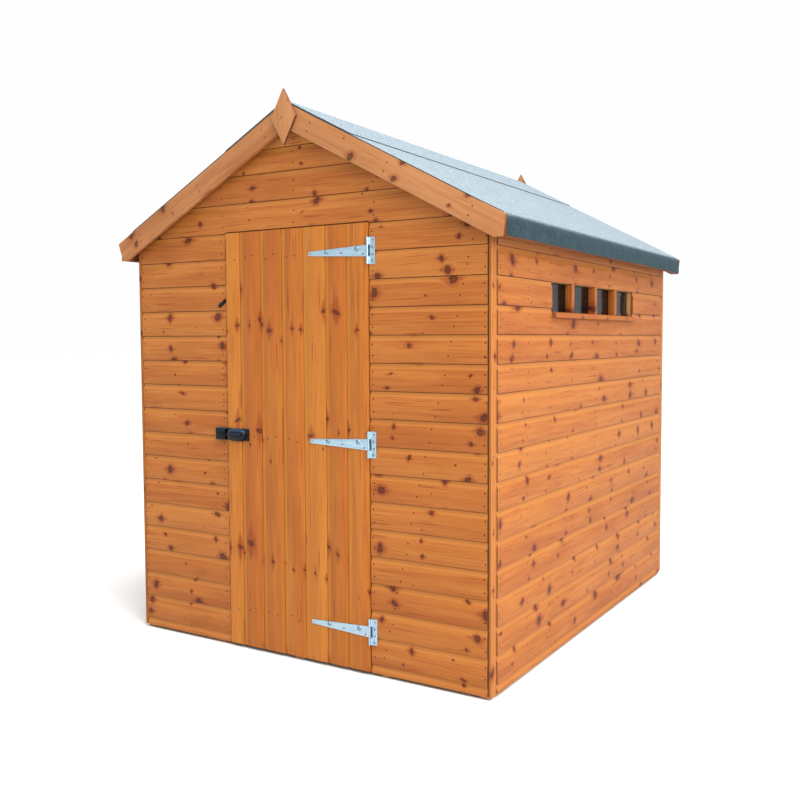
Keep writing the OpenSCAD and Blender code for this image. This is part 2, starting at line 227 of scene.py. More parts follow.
def pine_layers(put, spot, tone, wood, painted_scoop_highlight=0.0, knots=WALL_KNOTS):
    """The colour and the height of pine at a spot (u along the grain, v across, in metres)."""
    share, pointed = pine_knots(put, spot, **knots)
    knot = put("MapRange", share, 1.2, 0.7, **SOFT)
    rim = put("Math", knot, put("MapRange", share, 0.95, 0.35, **SOFT), **MINUS)
    stain = put("MapRange", share, 2.4, 0.9, **SOFT)
    flame = put("MapRange", pointed, 1.7, 0.7, **SOFT)
    bend = put("MapRange", share, 4.5, 0.0, **SOFT)

    patterns = {}
    for name, along, across, detail, rough in (
        ("sway", 0.5, 5.5, 1.0, 0.35),
        ("bold", 0.9, 7.0, 2.0, 0.5),
        ("fibre", 9.0, 420.0, 3.0, 0.6),
        ("streak", 1.4, 34.0, 3.0, 0.6),
        ("blotch", 2.6, 8.0, 4.0, 0.55),
        ("slit", 4.5, 190.0, 0.0, 0.5),
    ):
        stretched = put("VectorMath", spot, (along, across, 1.0), **TIMES)
        patterns[name] = put("TexNoise", stretched, 1.0, detail, rough, **FLAT)
    field = put("Math", put("SeparateXYZ", spot).outputs["Y"], RINGS_PER_METRE, **TIMES)
    field = put("Math", field, put("Math", patterns["sway"], 13.0, **TIMES))
    field = put("Math", field, put("Math", bend, 1.6, **TIMES))
    late = put("ValToRGB", put("Math", field, operation="FRACT"))
    late.color_ramp.elements[0].position = 0.2
    late.color_ramp.elements[0].color = (0.0, 0.0, 0.0, 1.0)
    late.color_ramp.elements[1].position = 0.84
    late.color_ramp.elements[1].color = (1.0, 1.0, 1.0, 1.0)
    late.color_ramp.elements.new(1.0).color = (0.1, 0.1, 0.1, 1.0)
    bold = put("MapRange", patterns["bold"], 0.35, 0.75, **SOFT)
    bold = put("Math", bold, 0.65, 0.25, operation="MULTIPLY_ADD")

    ringed = put("Math", late, bold, **TIMES)
    body = put("Mix", ringed, colour(wood["early"]), colour(wood["late"]), **RGBA)
    for pattern, low, high, most, shade in (
        (patterns["streak"], 0.42, 0.78, 0.7, "deep"),
        (patterns["streak"], 0.5, 0.22, 0.6, "pale"),
        (patterns["blotch"], 0.42, 0.75, 0.5, "deep"),
        (tone, 0.5, 1.0, 0.45, "pale"),
        (tone, 0.5, 0.0, 0.45, "deep"),
        (patterns["fibre"], 0.35, 0.75, 0.32, "late"),
        (patterns["slit"], 0.74, 0.80, 0.55, "stain"),
    ):
        part = put("MapRange", pattern, low, high, 0.0, most, **SOFT)
        body = put("Mix", part, body, colour(wood[shade]), **RGBA)
    # Painted highlight: where the scoop faces up, the colour is mixed towards the pale shade.
    body = put("Mix", painted_scoop_highlight, body, colour(wood["pale"]), **RGBA)
    red = put("Math", stain, flame, operation="MAXIMUM")
    uneven = put("Math", patterns["streak"], 0.9, 0.2, operation="MULTIPLY_ADD")
    red = put("Math", red, uneven, **TIMES)
    body = put("Mix", red, body, colour(wood["stain"]), **RGBA)
    body = put("Mix", put("Math", knot, 0.76, **TIMES), body, colour(wood["knot"]), **RGBA)
    body = put("Mix", put("Math", rim, 0.5, **TIMES), body, colour(wood["rim"]), **RGBA)

    height = put("Math", late, 0.00008, **TIMES)
    height = put("Math", height, put("Math", patterns["fibre"], 0.00018, **TIMES))
    height = put("Math", height, put("Math", knot, 0.0003, **TIMES))
    return body, height


print("about", round(1 / (WHORL_EVERY * KNOTS_EVERY)), "knots to a square metre")

# %% [markdown]
# ## Planed boards, their ends, and sawn framing
#
# The boards are planed, so they are smooth with a dull gleam; dip stain leaves them between
# matt and satin, and the open fibres halve the gleam. Their cut ends show the pores, drink
# more stain and turn dark. The framing and the floor are sawn and only lightly coloured by
# the same dip, so they are paler, rougher and fuzzy, but the timbers behind the front panels
# are given a darker colour, and the eaves rails are darkened as painted shade under the eaves.
# One function each keeps the three apart, and one table holds the colours of each batch of wood.

# %% Colours of the wood
SHADES = ("early", "late", "deep", "pale", "stain", "knot", "rim")
WOODS = {
    name: dict(zip(SHADES, codes.split()))
    for name, codes in {
        "cladding": "#A8652A #95521C #904C19 #B17334 #7A2F0A #46180A #240903",
        "roof trim": "#A77045 #976034 #8C5429 #B17E54 #7E3F1B #46200F #280E05",
        "framing": "#B88A5A #A26E3F #966338 #C29A6D #7A4622 #5A3426 #3E1D0E",
        "dark framing and eaves shade": "#7A4520 #663512 #5C2F10 #8A5228 #5A260C #3E1E12 #2A1008",
        "door": "#AD6724 #9A5618 #954E16 #B6772C #7E2E08 #481808 #280A03",
    }.items()
}

# %% Wood materials
GRAIN_MAP = "grain"
TONE = "tone"
UP_SCOOP = "share_up_the_scoop"
# Near-black colour painted as the shadow under each board's lip.
LIP_SHADOW_PAINT = "#2A1105"


def planed_pine(name, wood, roughness=0.58, knots=WALL_KNOTS):
    """Planed and dipped softwood: dielectric, satin to matt, with fibres just to be felt."""
    constants = {"Roughness": roughness, "IOR": 1.5, "Specular IOR Level": 0.25}
    made, put, surface = new_material(name, constants)
    spot = put("UVMap", uv_map=GRAIN_MAP)
    tone = put("Attribute", attribute_name=TONE).outputs["Fac"]
    scoop = put("Attribute", attribute_name=UP_SCOOP).outputs["Fac"]
    # Painted highlight: the lower scoop is painted paler, as if it caught the light from above.
    painted_scoop_highlight = put("MapRange", scoop, 0.02, 0.2, 0.0, 0.55, **SOFT)
    body, height = pine_layers(put, spot, tone, WOODS[wood], painted_scoop_highlight, knots)
    # Painted shadow: the top of the scoop, under the next lip, is darkened towards this colour.
    painted_lip_shadow = put("MapRange", scoop, 0.84, 0.97, **SOFT)
    feed(surface, {"Base Color": put("Mix", painted_lip_shadow, body, colour(LIP_SHADOW_PAINT), **RGBA)})
    bump = {"Height": height, "Strength": 0.6, "Distance": 1.0}
    feed(surface, {"Normal": put("Bump", feeds=bump)})
    return made


def end_grain(name, dark, light):
    """Cross-cut softwood: thirsty pores, dark from the dip, rings about 3 mm apart."""
    made, put, surface = new_material(name, {"Roughness": 0.85, "IOR": 1.5})
    spot = put("UVMap", uv_map=GRAIN_MAP)
    centre = put("VectorMath", spot, operation="FRACTION")
    away = put("VectorMath", centre, operation="LENGTH")
    ring = put("Math", put("Math", away, 320.0, **TIMES), operation="FRACT")
    grit = put("TexNoise", spot, 900.0, 2.0, **FLAT)
    share = put("Math", put("Math", ring, grit), 0.5, **TIMES)
    feed(surface, {"Base Color": put("Mix", share, colour(dark), colour(light), **RGBA)})
    return made


def sawn_pine(name, wood, along):
    """Sawn softwood with its grain along one axis of the building."""
    made, put, surface = new_material(name, {"Roughness": 0.82, "IOR": 1.5})
    axes = put("SeparateXYZ", put("TexCoord").outputs["Object"])
    others = [axis for axis in "XYZ" if axis != along]
    across = put("Math", axes.outputs[others[0]], axes.outputs[others[1]])
    spot = put("CombineXYZ", axes.outputs[along], across)
    each = put("Math", put("Math", across, 2.7, **TIMES), operation="FLOOR")
    own = put("TexWhiteNoise", each, noise_dimensions="1D")
    body, height = pine_layers(put, spot, own, WOODS[wood])
    feed(surface, {"Base Color": body})
    teeth = put("TexWave", spot, 90.0, 3.0, 1.0, wave_type="BANDS", bands_direction="X")
    marks = put("Math", teeth.outputs["Fac"], 0.0003, **TIMES)
    bump = {"Height": put("Math", height, marks), "Strength": 0.7, "Distance": 1.0}
    feed(surface, {"Normal": put("Bump", feeds=bump)})
    return made


cladding_pine = planed_pine("planed_pine_dipped_orange_brown", "cladding")
barge_pine = planed_pine("planed_pine_roof_trim_dipped", "roof trim")
door_pine = planed_pine("planed_pine_matchboard_dipped", "door", knots=DOOR_KNOTS)
inside_pine = planed_pine("planed_pine_lightly_dipped", "framing", roughness=0.68)
cut_end = end_grain("end_grain_pine_dipped", "#5E3218", "#8F5529")
inside_end = end_grain("end_grain_pine_plain", "#8A5E38", "#B98A5C")
sawn = {axis: sawn_pine(f"sawn_pine_grain_{axis.lower()}", "framing", axis) for axis in "XYZ"}
print(len(WOODS), "batches of wood,", 6 + len(sawn), "materials")

# %% [markdown]
# ## How a board is made
#
# A planing machine pushes a plank past shaped cutters, so a board is one cross-section
# carried along the grain and then sawn off at both ends. The mesh is made the same way. The
# section is a closed outline of points (b, c): b up across the board and c out from its back.
# The two cuts are functions of b and c, so an end can be square, or slope with the roof.
# The boards of one panel become one mesh; each keeps its own spot in the grain and its tone.

# %% Helpers for boards
chance = random.Random(12)


def keep_between(section, low, high):
    """The part of a closed section between two levels of b."""
    for limit, sign in ((low, 1), (high, -1)):
        kept = []
        for here, after in zip(section, section[1:] + section[:1]):
            inside = sign * (here[0] - limit) >= 0
            if inside:
                kept.append(here)
            if inside != (sign * (after[0] - limit) >= 0):
                share = (limit - here[0]) / (after[0] - here[0])
                kept.append((limit, here[1] + share * (after[1] - here[1])))
        section = kept
    return section


def fresh_grain(log=None):
    """A new board's own spot in the grain, and its tone; boards of one log share whorls."""
    along = chance.uniform(0, 60) if log is None else log + chance.uniform(-0.02, 0.02)
    return {
        "shift": (along, chance.uniform(0, 60)),
        "tone": min(1.0, max(0.0, chance.gauss(0.5, 0.2))),
    }


def plank(section, start, stop, place, grain, scoop=lambda b: 0.0):
    """One board: its section and two cuts, where (a, b, c) lies, its grain and its scoop."""
    cut = [c if callable(c) else (lambda b, c_, at=c: at) for c in (start, stop)]
    return {"section": section, "cuts": cut, "place": place, "scoop": scoop, **grain}


def show(name, data):
    """An object for a mesh, a curve, a lamp or a camera, linked into the scene."""
    made = bpy.data.objects.new(name, data)
    bpy.context.scene.collection.objects.link(made)
    return made


def new_mesh(name, points, faces, *materials):
    """A mesh with its materials."""
    mesh = bpy.data.meshes.new(name)
    mesh.from_pydata(points, [], faces)
    for material in materials:
        mesh.materials.append(material)
    return mesh


def finish_mesh(mesh, smooth):
    """All faces turned outwards, edges sharp from an angle in degrees, shown as an object."""
    work = bmesh.new()
    work.from_mesh(mesh)
    bmesh.ops.recalc_face_normals(work, faces=work.faces)
    work.to_mesh(mesh)
    work.free()
    mesh.shade_smooth()
    mesh.set_sharp_from_angle(angle=math.radians(smooth))
    return show(mesh.name, mesh)


def skin(rings, count):
    """Faces between loops of equal length, and a cap on the first and the last."""
    faces = []
    for r in range(rings - 1):
        for i in range(count):
            j = (i + 1) % count
            base, above = r * count, (r + 1) * count
            faces.append((base + i, base + j, above + j, above + i))
    caps = [tuple(first + i for i in range(count)) for first in (0, (rings - 1) * count)]
    return faces + caps


def build_planks(name, planks, material, end_material):
    """All the planks as one mesh object."""
    points, faces, coords, tones, scoops, slots = [], [], [], [], [], []
    for item in planks:
        section, shift = item["section"], item["shift"]
        count, base = len(section), len(points)
        spots = []
        for cut in item["cuts"]:
            for b, c in section:
                a = cut(b, c)
                points.append(item["place"](a, b, c))
                spots.append((a + shift[0], b - 0.5 * c + shift[1]))
                tones.append(item["tone"])
                scoops.append(item["scoop"](b))
        sides_and_ends = skin(2, count)
        faces += [[base + n for n in face] for face in sides_and_ends]
        coords += [spots[n] for face in sides_and_ends[:count] for n in face]
        coords += 2 * [(c + shift[0], b + shift[1]) for b, c in section]
        slots += count * [0] + 2 * [1]
    mesh = new_mesh(name, points, faces, material, end_material)
    layer = mesh.uv_layers.new(name=GRAIN_MAP)
    layer.uv.foreach_set("vector", [v for uv in coords for v in uv])
    for label, values in ((TONE, tones), (UP_SCOOP, scoops)):
        store = mesh.attributes.new(label, "FLOAT", "POINT")
        store.data.foreach_set("value", values)
    mesh.polygons.foreach_set("material_index", slots)
    return finish_mesh(mesh, 28.0)


def settle(piece, body, slot, *nodes):
    """The piece rides on a body and stands for CAD nodes; the slot is not used."""
    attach(piece, body)
    if nodes:
        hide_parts(*nodes)
    print(piece.name, len(piece.data.polygons), "faces")
    return piece


def arcs(corners, steps=3):
    """Round corners one after another, from the upper right; each is (x, z, radius)."""
    points = []
    for quarter, (x, z, radius) in enumerate(corners):
        for step in range(steps + 1):
            angle = math.radians(90 * quarter + 90 * step / steps)
            points.append((x + radius * math.cos(angle), z + radius * math.sin(angle)))
    return points


def squared(width, thick, ease=0.0012):
    """A plain section, width by thick, with its four long edges eased, from b = 0 up."""
    right, top = width - ease, thick - ease
    return arcs([(right, top, ease), (ease, top, ease), (ease, ease, ease), (right, ease, ease)])


print("helpers for boards ready")

# %% [markdown]
# ## Shiplap cladding
#
# Each board covers 112 mm. Its face is flat for the lower three quarters and then sweeps back
# in a scoop, and the next board's lip hangs over the top of that scoop and throws a thin
# shadow. A groove drawn in the material could show the line, but not the wavy outline at the
# board ends or the way the light runs along the scoop, so the section is cut in full: lip,
# flat, scoop, tongue and rebate, with a gap of half a millimetre between neighbours.

# %% The shiplap section
COVER = 0.112
SCOOP_W = 0.026
SCOOP = 0.0056
LAP = 0.008
LIP_GAP = 0.0009
FIRST_LINE = 0.048


def shiplap(thick, cover=COVER):
    """The section of one shiplap board, from its lip at b = 0 to the top of its tongue."""
    flat = cover - SCOOP_W
    lip = thick - SCOOP + LIP_GAP
    points = [(0.0, lip), (0.0, thick - 0.0014), (0.0004, thick - 0.0004), (0.0014, thick)]
    steps = 7
    for i in range(steps + 1):
        t = i / steps
        fall = 1 - (1 - t) ** 2.3
        points.append((flat + t * SCOOP_W, thick - SCOOP * fall))
    points += [
        (cover + LAP - 0.0006, thick - SCOOP),
        (cover + LAP - 0.0006, 0.0),
        (LAP, 0.0),
        (LAP, lip),
    ]
    return points


def up_the_scoop(cover=COVER):
    """How far up the scoop a point lies: the scoop is painted paler than the flat as a painted
    highlight, and just under the next lip it is painted dark as painted shadow."""
    return lambda b: min(1.0, max(0.0, (b - cover + SCOOP_W) / SCOOP_W))


print("board section:", len(shiplap(BOARD_T)), "points, cover", COVER)

# %% [markdown]
# ## The four walls
#
# The lines between boards stand at the same heights all round, and the lowest board is a
# narrow rip that only shows its scoop. A board that meets the roof is sawn along the slope.
# The window takes a bite out of three boards, so those are made in lengths that share one
# grain: what lies before, under or over, and behind the opening.

# %% Front and back walls
FRONT_BACK = FRONT_Y + BOARD_T
BACK_Y = -FRONT_Y
END_GAP = 0.0018
CORNER_GAP = 0.0055
ridge_line = under_roof(0)


def on_front(level):
    return lambda a, b, c: Vector((a, FRONT_BACK - c, level + b))


def on_back(level):
    return lambda a, b, c: Vector((-a, BACK_Y - BOARD_T + c, level + b))


def slope_cut(side, level):
    """The cut along the roof's slope for a board whose lower edge is at a level."""
    return lambda b, c: side * min(HALF_PANEL - END_GAP, (ridge_line - level - b) / RISE)


def plank_over_door(row, place, low):
    """The lowest gable board: notched over the door, its ends resting on the boards beside."""
    grain = fresh_grain()
    level = level_of(row)
    cover = level_of(row + 1) - level
    section = shiplap(BOARD_T, cover)
    shoulder = ridge_line - level - RISE * (HALF_PANEL - END_GAP)
    planks = []
    for start, stop, bottom in (
        (slope_cut(-1, level), -DOORWAY, -0.01),
        (-DOORWAY, DOORWAY, low),
        (DOORWAY, slope_cut(1, level), -0.01),
    ):
        for band in ((bottom, shoulder), (shoulder, cover + LAP)):
            if band[1] - band[0] > 0.002:
                cut = keep_between(section, *band)
                planks.append(plank(cut, start, stop, place(level), grain, up_the_scoop(cover)))
    return planks


def gable_planks(row, place, low):
    """One row of a gable, cut to the slope; its foot stays square below the eaves."""
    grain = fresh_grain()
    level = level_of(row)
    cover = level_of(row + 1) - level
    top = min(cover + LAP, ridge_line - level - 0.004)
    shoulder = ridge_line - level - RISE * (HALF_PANEL - END_GAP)
    bands = [(low, top)]
    if low < shoulder < top:
        bands = [(low, shoulder), (shoulder, top)]
    return [
        plank(
            keep_between(shiplap(BOARD_T, cover), *band),
            slope_cut(-1, level),
            slope_cut(1, level),
            place(level),
            grain,
            up_the_scoop(cover),
        )
        for band in bands
        if band[1] - band[0] > 0.002
    ]


rows_to_door_top = round((DOORWAY_TOP - FIRST_LINE) / COVER)
gable_levels = [FIRST_LINE + COVER * rows_to_door_top, 1.966, 2.084, 2.184, 2.296, 2.408]


def level_of(row):
    """The height of a board's lower edge; the boards over the door are ripped to fit."""
    if row < rows_to_door_top:
        return FIRST_LINE + COVER * row
    return gable_levels[row - rows_to_door_top]


foot_cut = PANEL_FOOT - level_of(-1)
whole = COVER + LAP
for side, label in ((-1, "left"), (1, "right")):
    planks = []
    for row in range(-1, rows_to_door_top):
        low = foot_cut if row < 0 else -0.01
        ends = sorted((side * (HALF_PANEL - CORNER_GAP), side * DOORWAY))
        section = keep_between(shiplap(BOARD_T), low, whole)
        grain = fresh_grain(11.0 + side * 3 + 1.7 * ((row + 1) // 4))
        place = on_front(level_of(row))
        planks.append(plank(section, *ends, place, grain, up_the_scoop()))
    piece = build_planks(f"front_boards_{label}", planks, cladding_pine, cut_end)
    settle(piece, "shed", "cladding", f"front_cladding_{label}")

planks = []
row = rows_to_door_top
over_door = DOORWAY_TOP - level_of(row)
while level_of(row) < ridge_line - 0.01:
    if row == rows_to_door_top:
        planks += plank_over_door(row, on_front, over_door)
    else:
        planks += gable_planks(row, on_front, -0.01)
    row += 1
piece = build_planks("gable_boards_front", planks, cladding_pine, cut_end)
settle(piece, "shed", "cladding", "front_cladding_gable")

planks = []
row = -1
while level_of(row) < ridge_line - 0.01:
    planks += gable_planks(row, on_back, foot_cut if row < 0 else -0.01)
    row += 1
settle(build_planks("back_boards", planks, cladding_pine, cut_end), "shed", "cladding", "back_cladding")

# %% Side walls
side_top = under_roof(HALF_OUT) - 0.0005


def on_right(level):
    return lambda a, b, c: Vector((HALF_PANEL + c, a, level + b))


def on_left(level):
    return lambda a, b, c: Vector((-HALF_PANEL - c, -a, level + b))


def side_planks(place, window):
    """The boards of one side wall, in lengths round the window where there is one."""
    planks = []
    row = -1
    while level_of(row) < side_top - 0.004:
        level = level_of(row)
        grain = fresh_grain()
        low = foot_cut if row < 0 else -0.01
        high = min(whole, side_top - level)
        lengths = [(-SIDE_END + END_GAP, SIDE_END - END_GAP, low, high)]
        if window and level < window[1].z and level + COVER > window[0].z + 0.001:
            start, stop = window[0].y, window[1].y
            lengths = [(-SIDE_END + END_GAP, start, low, high)]
            if window[0].z > level + 0.001:
                lengths.append((start, stop, low, window[0].z - level))
            if window[1].z < level + COVER - 0.001:
                lengths.append((start, stop, window[1].z - level, high))
            lengths.append((stop, SIDE_END - END_GAP, low, high))
        for begin, end, bottom, top in lengths:
            section = keep_between(shiplap(BOARD_T), bottom, top)
            planks.append(plank(section, begin, end, place(level), grain, up_the_scoop()))
        row += 1
    return planks


piece = build_planks("left_boards", side_planks(on_left, None), cladding_pine, cut_end)
settle(piece, "shed", "cladding", "left_cladding")
piece = build_planks("right_boards", side_planks(on_right, opening), cladding_pine, cut_end)
settle(
    piece,
    "shed",
    "cladding",
    "right_cladding_low",
    "right_cladding_high",
    "right_cladding_ends",
)

# %% [markdown]
# ## Corner strips
#
# A planed strip covers the joint of two panels at each corner. It is a plain rectangle with
# its edges eased, standing upright, and its top follows the roof. The boards of the side wall
# butt against it and stand a little proud.

# %% Corner strips
STRIP_W = BACK_Y - SIDE_END
STRIP_T = trims[1].x - HALF_PANEL


def painted_shade_on_strip_edge(b):
    """The outer edge of a strip stands in the shadow line, and its face there is darkened with the
    scoop's painted shadow.
    """
    return 0.9 if b > STRIP_W - 0.0006 else 0.0


def strip_place(side, end):
    return lambda a, b, c: Vector((side * (HALF_PANEL + c), end * (SIDE_END + b), a))


planks = []
for side in (-1, 1):
    for end in (-1, 1):
        section = squared(STRIP_W - 0.0002, STRIP_T)
        stop = lambda b, c: under_roof(HALF_PANEL + c) - 0.001
        grain = {**fresh_grain(), "tone": 1.0}
        planks.append(
            plank(section, PANEL_FOOT, stop, strip_place(side, end), grain, painted_shade_on_strip_edge)
        )
piece = build_planks("corner_strips", planks, cladding_pine, cut_end)
settle(piece, "shed", "cladding", "corner_trims")

# %% [markdown]
# ## Barge boards and finials
#
# Two boards follow each gable's slope and hide the ends of the roof boards, and a diamond
# covers the joint at the ridge. Their grain runs down the slope, so each board is set up in
# its own directions: a down the slope, b square to it, c out of the gable. The ridge end is
# sawn plumb. The foot has two cuts, one nearly plumb and one level.

# %% Barge boards
BARGE_W = 0.106 * math.cos(PITCH)
FOOT_H = 0.080
BARGE_T = VERGE_Y - ROOF_Y


def barge_plank(side, end, foot_in):
    """One barge board; foot_in is how far its foot leans back on the way down."""
    end_x = barge[1].x
    end_z = RIDGE - RISE * end_x
    lean_b = -(foot_in * math.sin(PITCH) + FOOT_H * math.cos(PITCH))

    def lean(b):
        share = b / lean_b
        x = end_x - foot_in * share
        z = end_z - FOOT_H * share
        return x * math.cos(PITCH) - (z - RIDGE) * math.sin(PITCH)

    def level(b):
        return (b * math.cos(PITCH) - (end_z - FOOT_H - RIDGE)) / math.sin(PITCH)

    def place(a, b, c):
        x = a * math.cos(PITCH) + b * math.sin(PITCH)
        z = RIDGE - a * math.sin(PITCH) + b * math.cos(PITCH)
        return Vector((side * x, end * (ROOF_Y + c), z))

    section = [(b - BARGE_W, c) for b, c in squared(BARGE_W, BARGE_T, 0.0018)]
    section.insert(4, (lean_b, BARGE_T))
    section.insert(13, (lean_b, 0.0))
    return plank(
        section,
        lambda b, c: -b * RISE,
        lambda b, c: min(lean(b), level(b)),
        place,
        fresh_grain(),
    )


feet = {(-1, -1): 0.028, (1, -1): 0.009, (-1, 1): 0.009, (1, 1): 0.009}
for (side, end), foot_in in feet.items():
    label = f"{'front' if end < 0 else 'back'}_{'left' if side < 0 else 'right'}"
    piece = build_planks(
        f"barge_{label}", [barge_plank(side, end, foot_in)], barge_pine, cut_end
    )
    settle(piece, "shed", "cladding", f"barge_board_{label}")

# %% Finials
finial_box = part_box("finial_front")
FINIAL_T = finial_box[1].y - finial_box[0].y
FINIAL_MID = (finial_box[0].z + finial_box[1].z) / 2
FINIAL_H = (finial_box[1].z - finial_box[0].z) / 2
FINIAL_W = finial_box[1].x


def finial_plank(end):
    """A diamond as two halves of upright grain that share it, cut to both slopes."""
    grain = fresh_grain() | {"shift": (7.3, 21.4), "tone": 1.0}
    ease = 0.0015
    section = [
        (-FINIAL_W, 0.0),
        (0.0, 0.0),
        (FINIAL_W, 0.0),
        (FINIAL_W, FINIAL_T - ease),
        (FINIAL_W - 2 * ease, FINIAL_T),
        (0.0, FINIAL_T),
        (2 * ease - FINIAL_W, FINIAL_T),
        (-FINIAL_W, FINIAL_T - ease),
    ]
    reach = lambda b: max(0.0004, FINIAL_H * (1 - abs(b) / FINIAL_W))
    place = lambda a, b, c: Vector((b, end * (VERGE_Y + c), FINIAL_MID + a))
    return plank(section, lambda b, c: -reach(b), lambda b, c: reach(b), place, grain)


for end, label in ((-1, "front"), (1, "back")):
    piece = build_planks(f"diamond_{label}", [finial_plank(end)], barge_pine, cut_end)
    settle(piece, "shed", "cladding", f"finial_{label}")

# %% [markdown]
# ## The door leaf
#
# The leaf is made of the same boards set upright, lip to scoop, so its face shows narrow
# grooves with one soft side. The boards aren't all the same width, because the two outer ones
# were ripped to fit. The section is the shiplap one again, with the flat made as wide as each
# board needs. Seen from the front, the scoop lies on the left of each board.

# %% Door boards
DOOR_SCOOP_W = 0.022
DOOR_SCOOP = 0.0045
door_joints = [-LEAF_HALF, -0.299, -0.183, -0.065, 0.049, 0.163, 0.271, LEAF_HALF]


def match_section(width, thick, first, last):
    """An upright door board: b runs from its lip, on the right, to its scoop, on the left."""
    lip = thick - DOOR_SCOOP + LIP_GAP
    start = 0.0 if first else lip
    points = [(0.0, start), (0.0, thick - 0.0016), (0.0006, thick - 0.0004), (0.0018, thick)]
    if last:
        points += [(width - 0.0016, thick), (width, thick - 0.0016), (width, 0.0)]
        return points + [(LAP, 0.0), (LAP, lip)]
    steps = 6
    for i in range(steps + 1):
        t = i / steps
        fall = 1 - (1 - t) ** 2.2
        points.append((width - DOOR_SCOOP_W * (1 - t), thick - DOOR_SCOOP * fall))
    points += [
        (width + LAP - 0.0006, thick - DOOR_SCOOP),
        (width + LAP - 0.0006, 0.0),
        (LAP, 0.0),
    ]
    if not first:
        points.append((LAP, lip))
    return points


def up_the_groove(width, last):
    """As on the walls, a painted highlight up the groove and a painted shadow under the next lip, the
    shadow a little lighter on the door; the last has none.
    """
    if last:
        return lambda b: 0.0
    return lambda b: 0.93 * min(1.0, max(0.0, (b - width + DOOR_SCOOP_W) / DOOR_SCOOP_W))


def door_place(right_edge):
    return lambda a, b, c: Vector((right_edge - b, LEAF_FACE + BOARD_T - c, a))


planks = []
for left_edge, right_edge in zip(door_joints, door_joints[1:]):
    first = right_edge == LEAF_HALF
    last = left_edge == -LEAF_HALF
    width = right_edge - left_edge
    section = match_section(width, BOARD_T, first, last)
    grain = fresh_grain(47.0)
    place = door_place(right_edge)
    groove = up_the_groove(width, last)
    planks.append(plank(section, leaf[0].z, leaf[1].z, place, grain, groove))
planks[0]["tone"] = 0.85
settle(build_planks("door_leaf", planks, door_pine, cut_end), "door", "door_timber", "door_boards")

# %% [markdown]
# ## Roof boards and floor boards
#
# Both are thin tongued boards that show a small V at each joint from below or above. They can
# be seen through the door and under the eaves, so they are made as separate boards too, lying
# along the building on the roof and across the bearers on the floor.

# %% Roof boards
V_CUT = 0.002
ROOF_BOARDS = 11
EAVES_EASE = 0.0245
EAVES_BACK = 0.004
EAVES_NOSE = 0.0048


def v_board(width, thick):
    """A tongued board with a small V on both faces at each edge."""
    return [
        (0.0002, V_CUT),
        (V_CUT, 0.0),
        (width - V_CUT, 0.0),
        (width - 0.0002, V_CUT),
        (width - 0.0002, thick - V_CUT),
        (width - V_CUT, thick),
        (V_CUT, thick),
        (0.0002, thick - V_CUT),
    ]


def roof_planks(side):
    """The boards of one slope, from the ridge to the eased edge under the felt."""
    width = ROOF_HALF / math.cos(PITCH) / ROOF_BOARDS
    planks = []

    def place_from(start):
        def place(a, b, c):
            down = start + b
            x = down * math.cos(PITCH) + (c - ROOF_BOARD) * math.sin(PITCH)
            z = RIDGE - down * math.sin(PITCH) + (c - ROOF_BOARD) * math.cos(PITCH)
            return Vector((side * x, a, z))

        return place

    for i in range(ROOF_BOARDS):
        section = v_board(width, ROOF_BOARD)
        if i == 0:
            mitre = ROOF_BOARD * RISE
            section[0] = (mitre, 0.0)
            section[7] = (0.0, ROOF_BOARD)
            section = section[:1] + section[2:6] + section[7:]
        if i == ROOF_BOARDS - 1:
            section[3:6] = [
                (width + ROOF_BOARD * RISE - EAVES_BACK, 0.0),
                (width + EAVES_NOSE - EAVES_BACK, ROOF_BOARD * 0.25),
                (width - EAVES_EASE, ROOF_BOARD),
            ]
            section.pop(2)
        planks.append(
            plank(section, -ROOF_Y + 0.0003, ROOF_Y - 0.0003, place_from(i * width), fresh_grain())
        )
    return planks


for side, label in ((-1, "left"), (1, "right")):
    piece = build_planks(f"roof_deck_{label}", roof_planks(side), inside_pine, inside_end)
    settle(piece, "shed", "timber", f"roof_boards_{label}")

# %% Floor boards
floor_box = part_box("floor_boards")
floor_count = 22
floor_width = (floor_box[1].y - floor_box[0].y) / floor_count
floor_thick = floor_box[1].z - floor_box[0].z


def floor_place(start):
    return lambda a, b, c: Vector((a, start + b, floor_box[0].z + c))


planks = []
for i in range(floor_count):
    start = floor_box[0].y + i * floor_width
    section = v_board(floor_width, floor_thick)
    planks.append(
        plank(section, floor_box[0].x, floor_box[1].x, floor_place(start), fresh_grain())
    )
settle(build_planks("floor_planks", planks, inside_pine, inside_end), "shed", "timber", "floor_boards")

# %% [markdown]
# ## Sawn framing
#
# The studs, rails, rafters, purlins and bearers are plain sawn lengths, and the structural
# parts already have their true shape. They keep it, and only take the sawn finish with the
# grain turned the way each timber runs. The timbers in the front panels are given a darker
# colour, and the eaves rails are darkened as painted shade under the eaves. A slanting brace,
# which the structure does without, is added behind the right-hand front panel, because a line
# of nails in the face gives it away.

# %% Framing takes its finish
framing = {
    "Z": ["front_studs", "back_studs", "left_studs", "right_studs", "door_braces"],
    "X": ["front_rails", "back_rails", "gable_rafters", "door_ledges"],
    "Y": ["left_rails", "right_rails", "roof_purlins", "eaves_rails", "floor_bearers"],
}
dark_sawn = {
    axis: sawn_pine(f"sawn_pine_dark_and_eaves_shade_grain_{axis.lower()}", "dark framing and eaves shade", axis)
    for axis in "XYZ"
}
# The eaves rails are darker as painted shade under the felt's drop; the front studs and rails are
# simply darker.
dark_and_eaves_shaded = ("front_studs", "front_rails", "eaves_rails")


def refinish(node_name, material):
    """A CAD part keeps its mesh and takes another finish."""
    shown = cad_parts[node_name]
    shown.data.materials.clear()
    shown.data.materials.append(material)


for axis, names in framing.items():
    for name in names:
        refinish(name, dark_sawn[axis] if name in dark_and_eaves_shaded else sawn[axis])
print("framing parts refinished:", sum(len(names) for names in framing.values()))

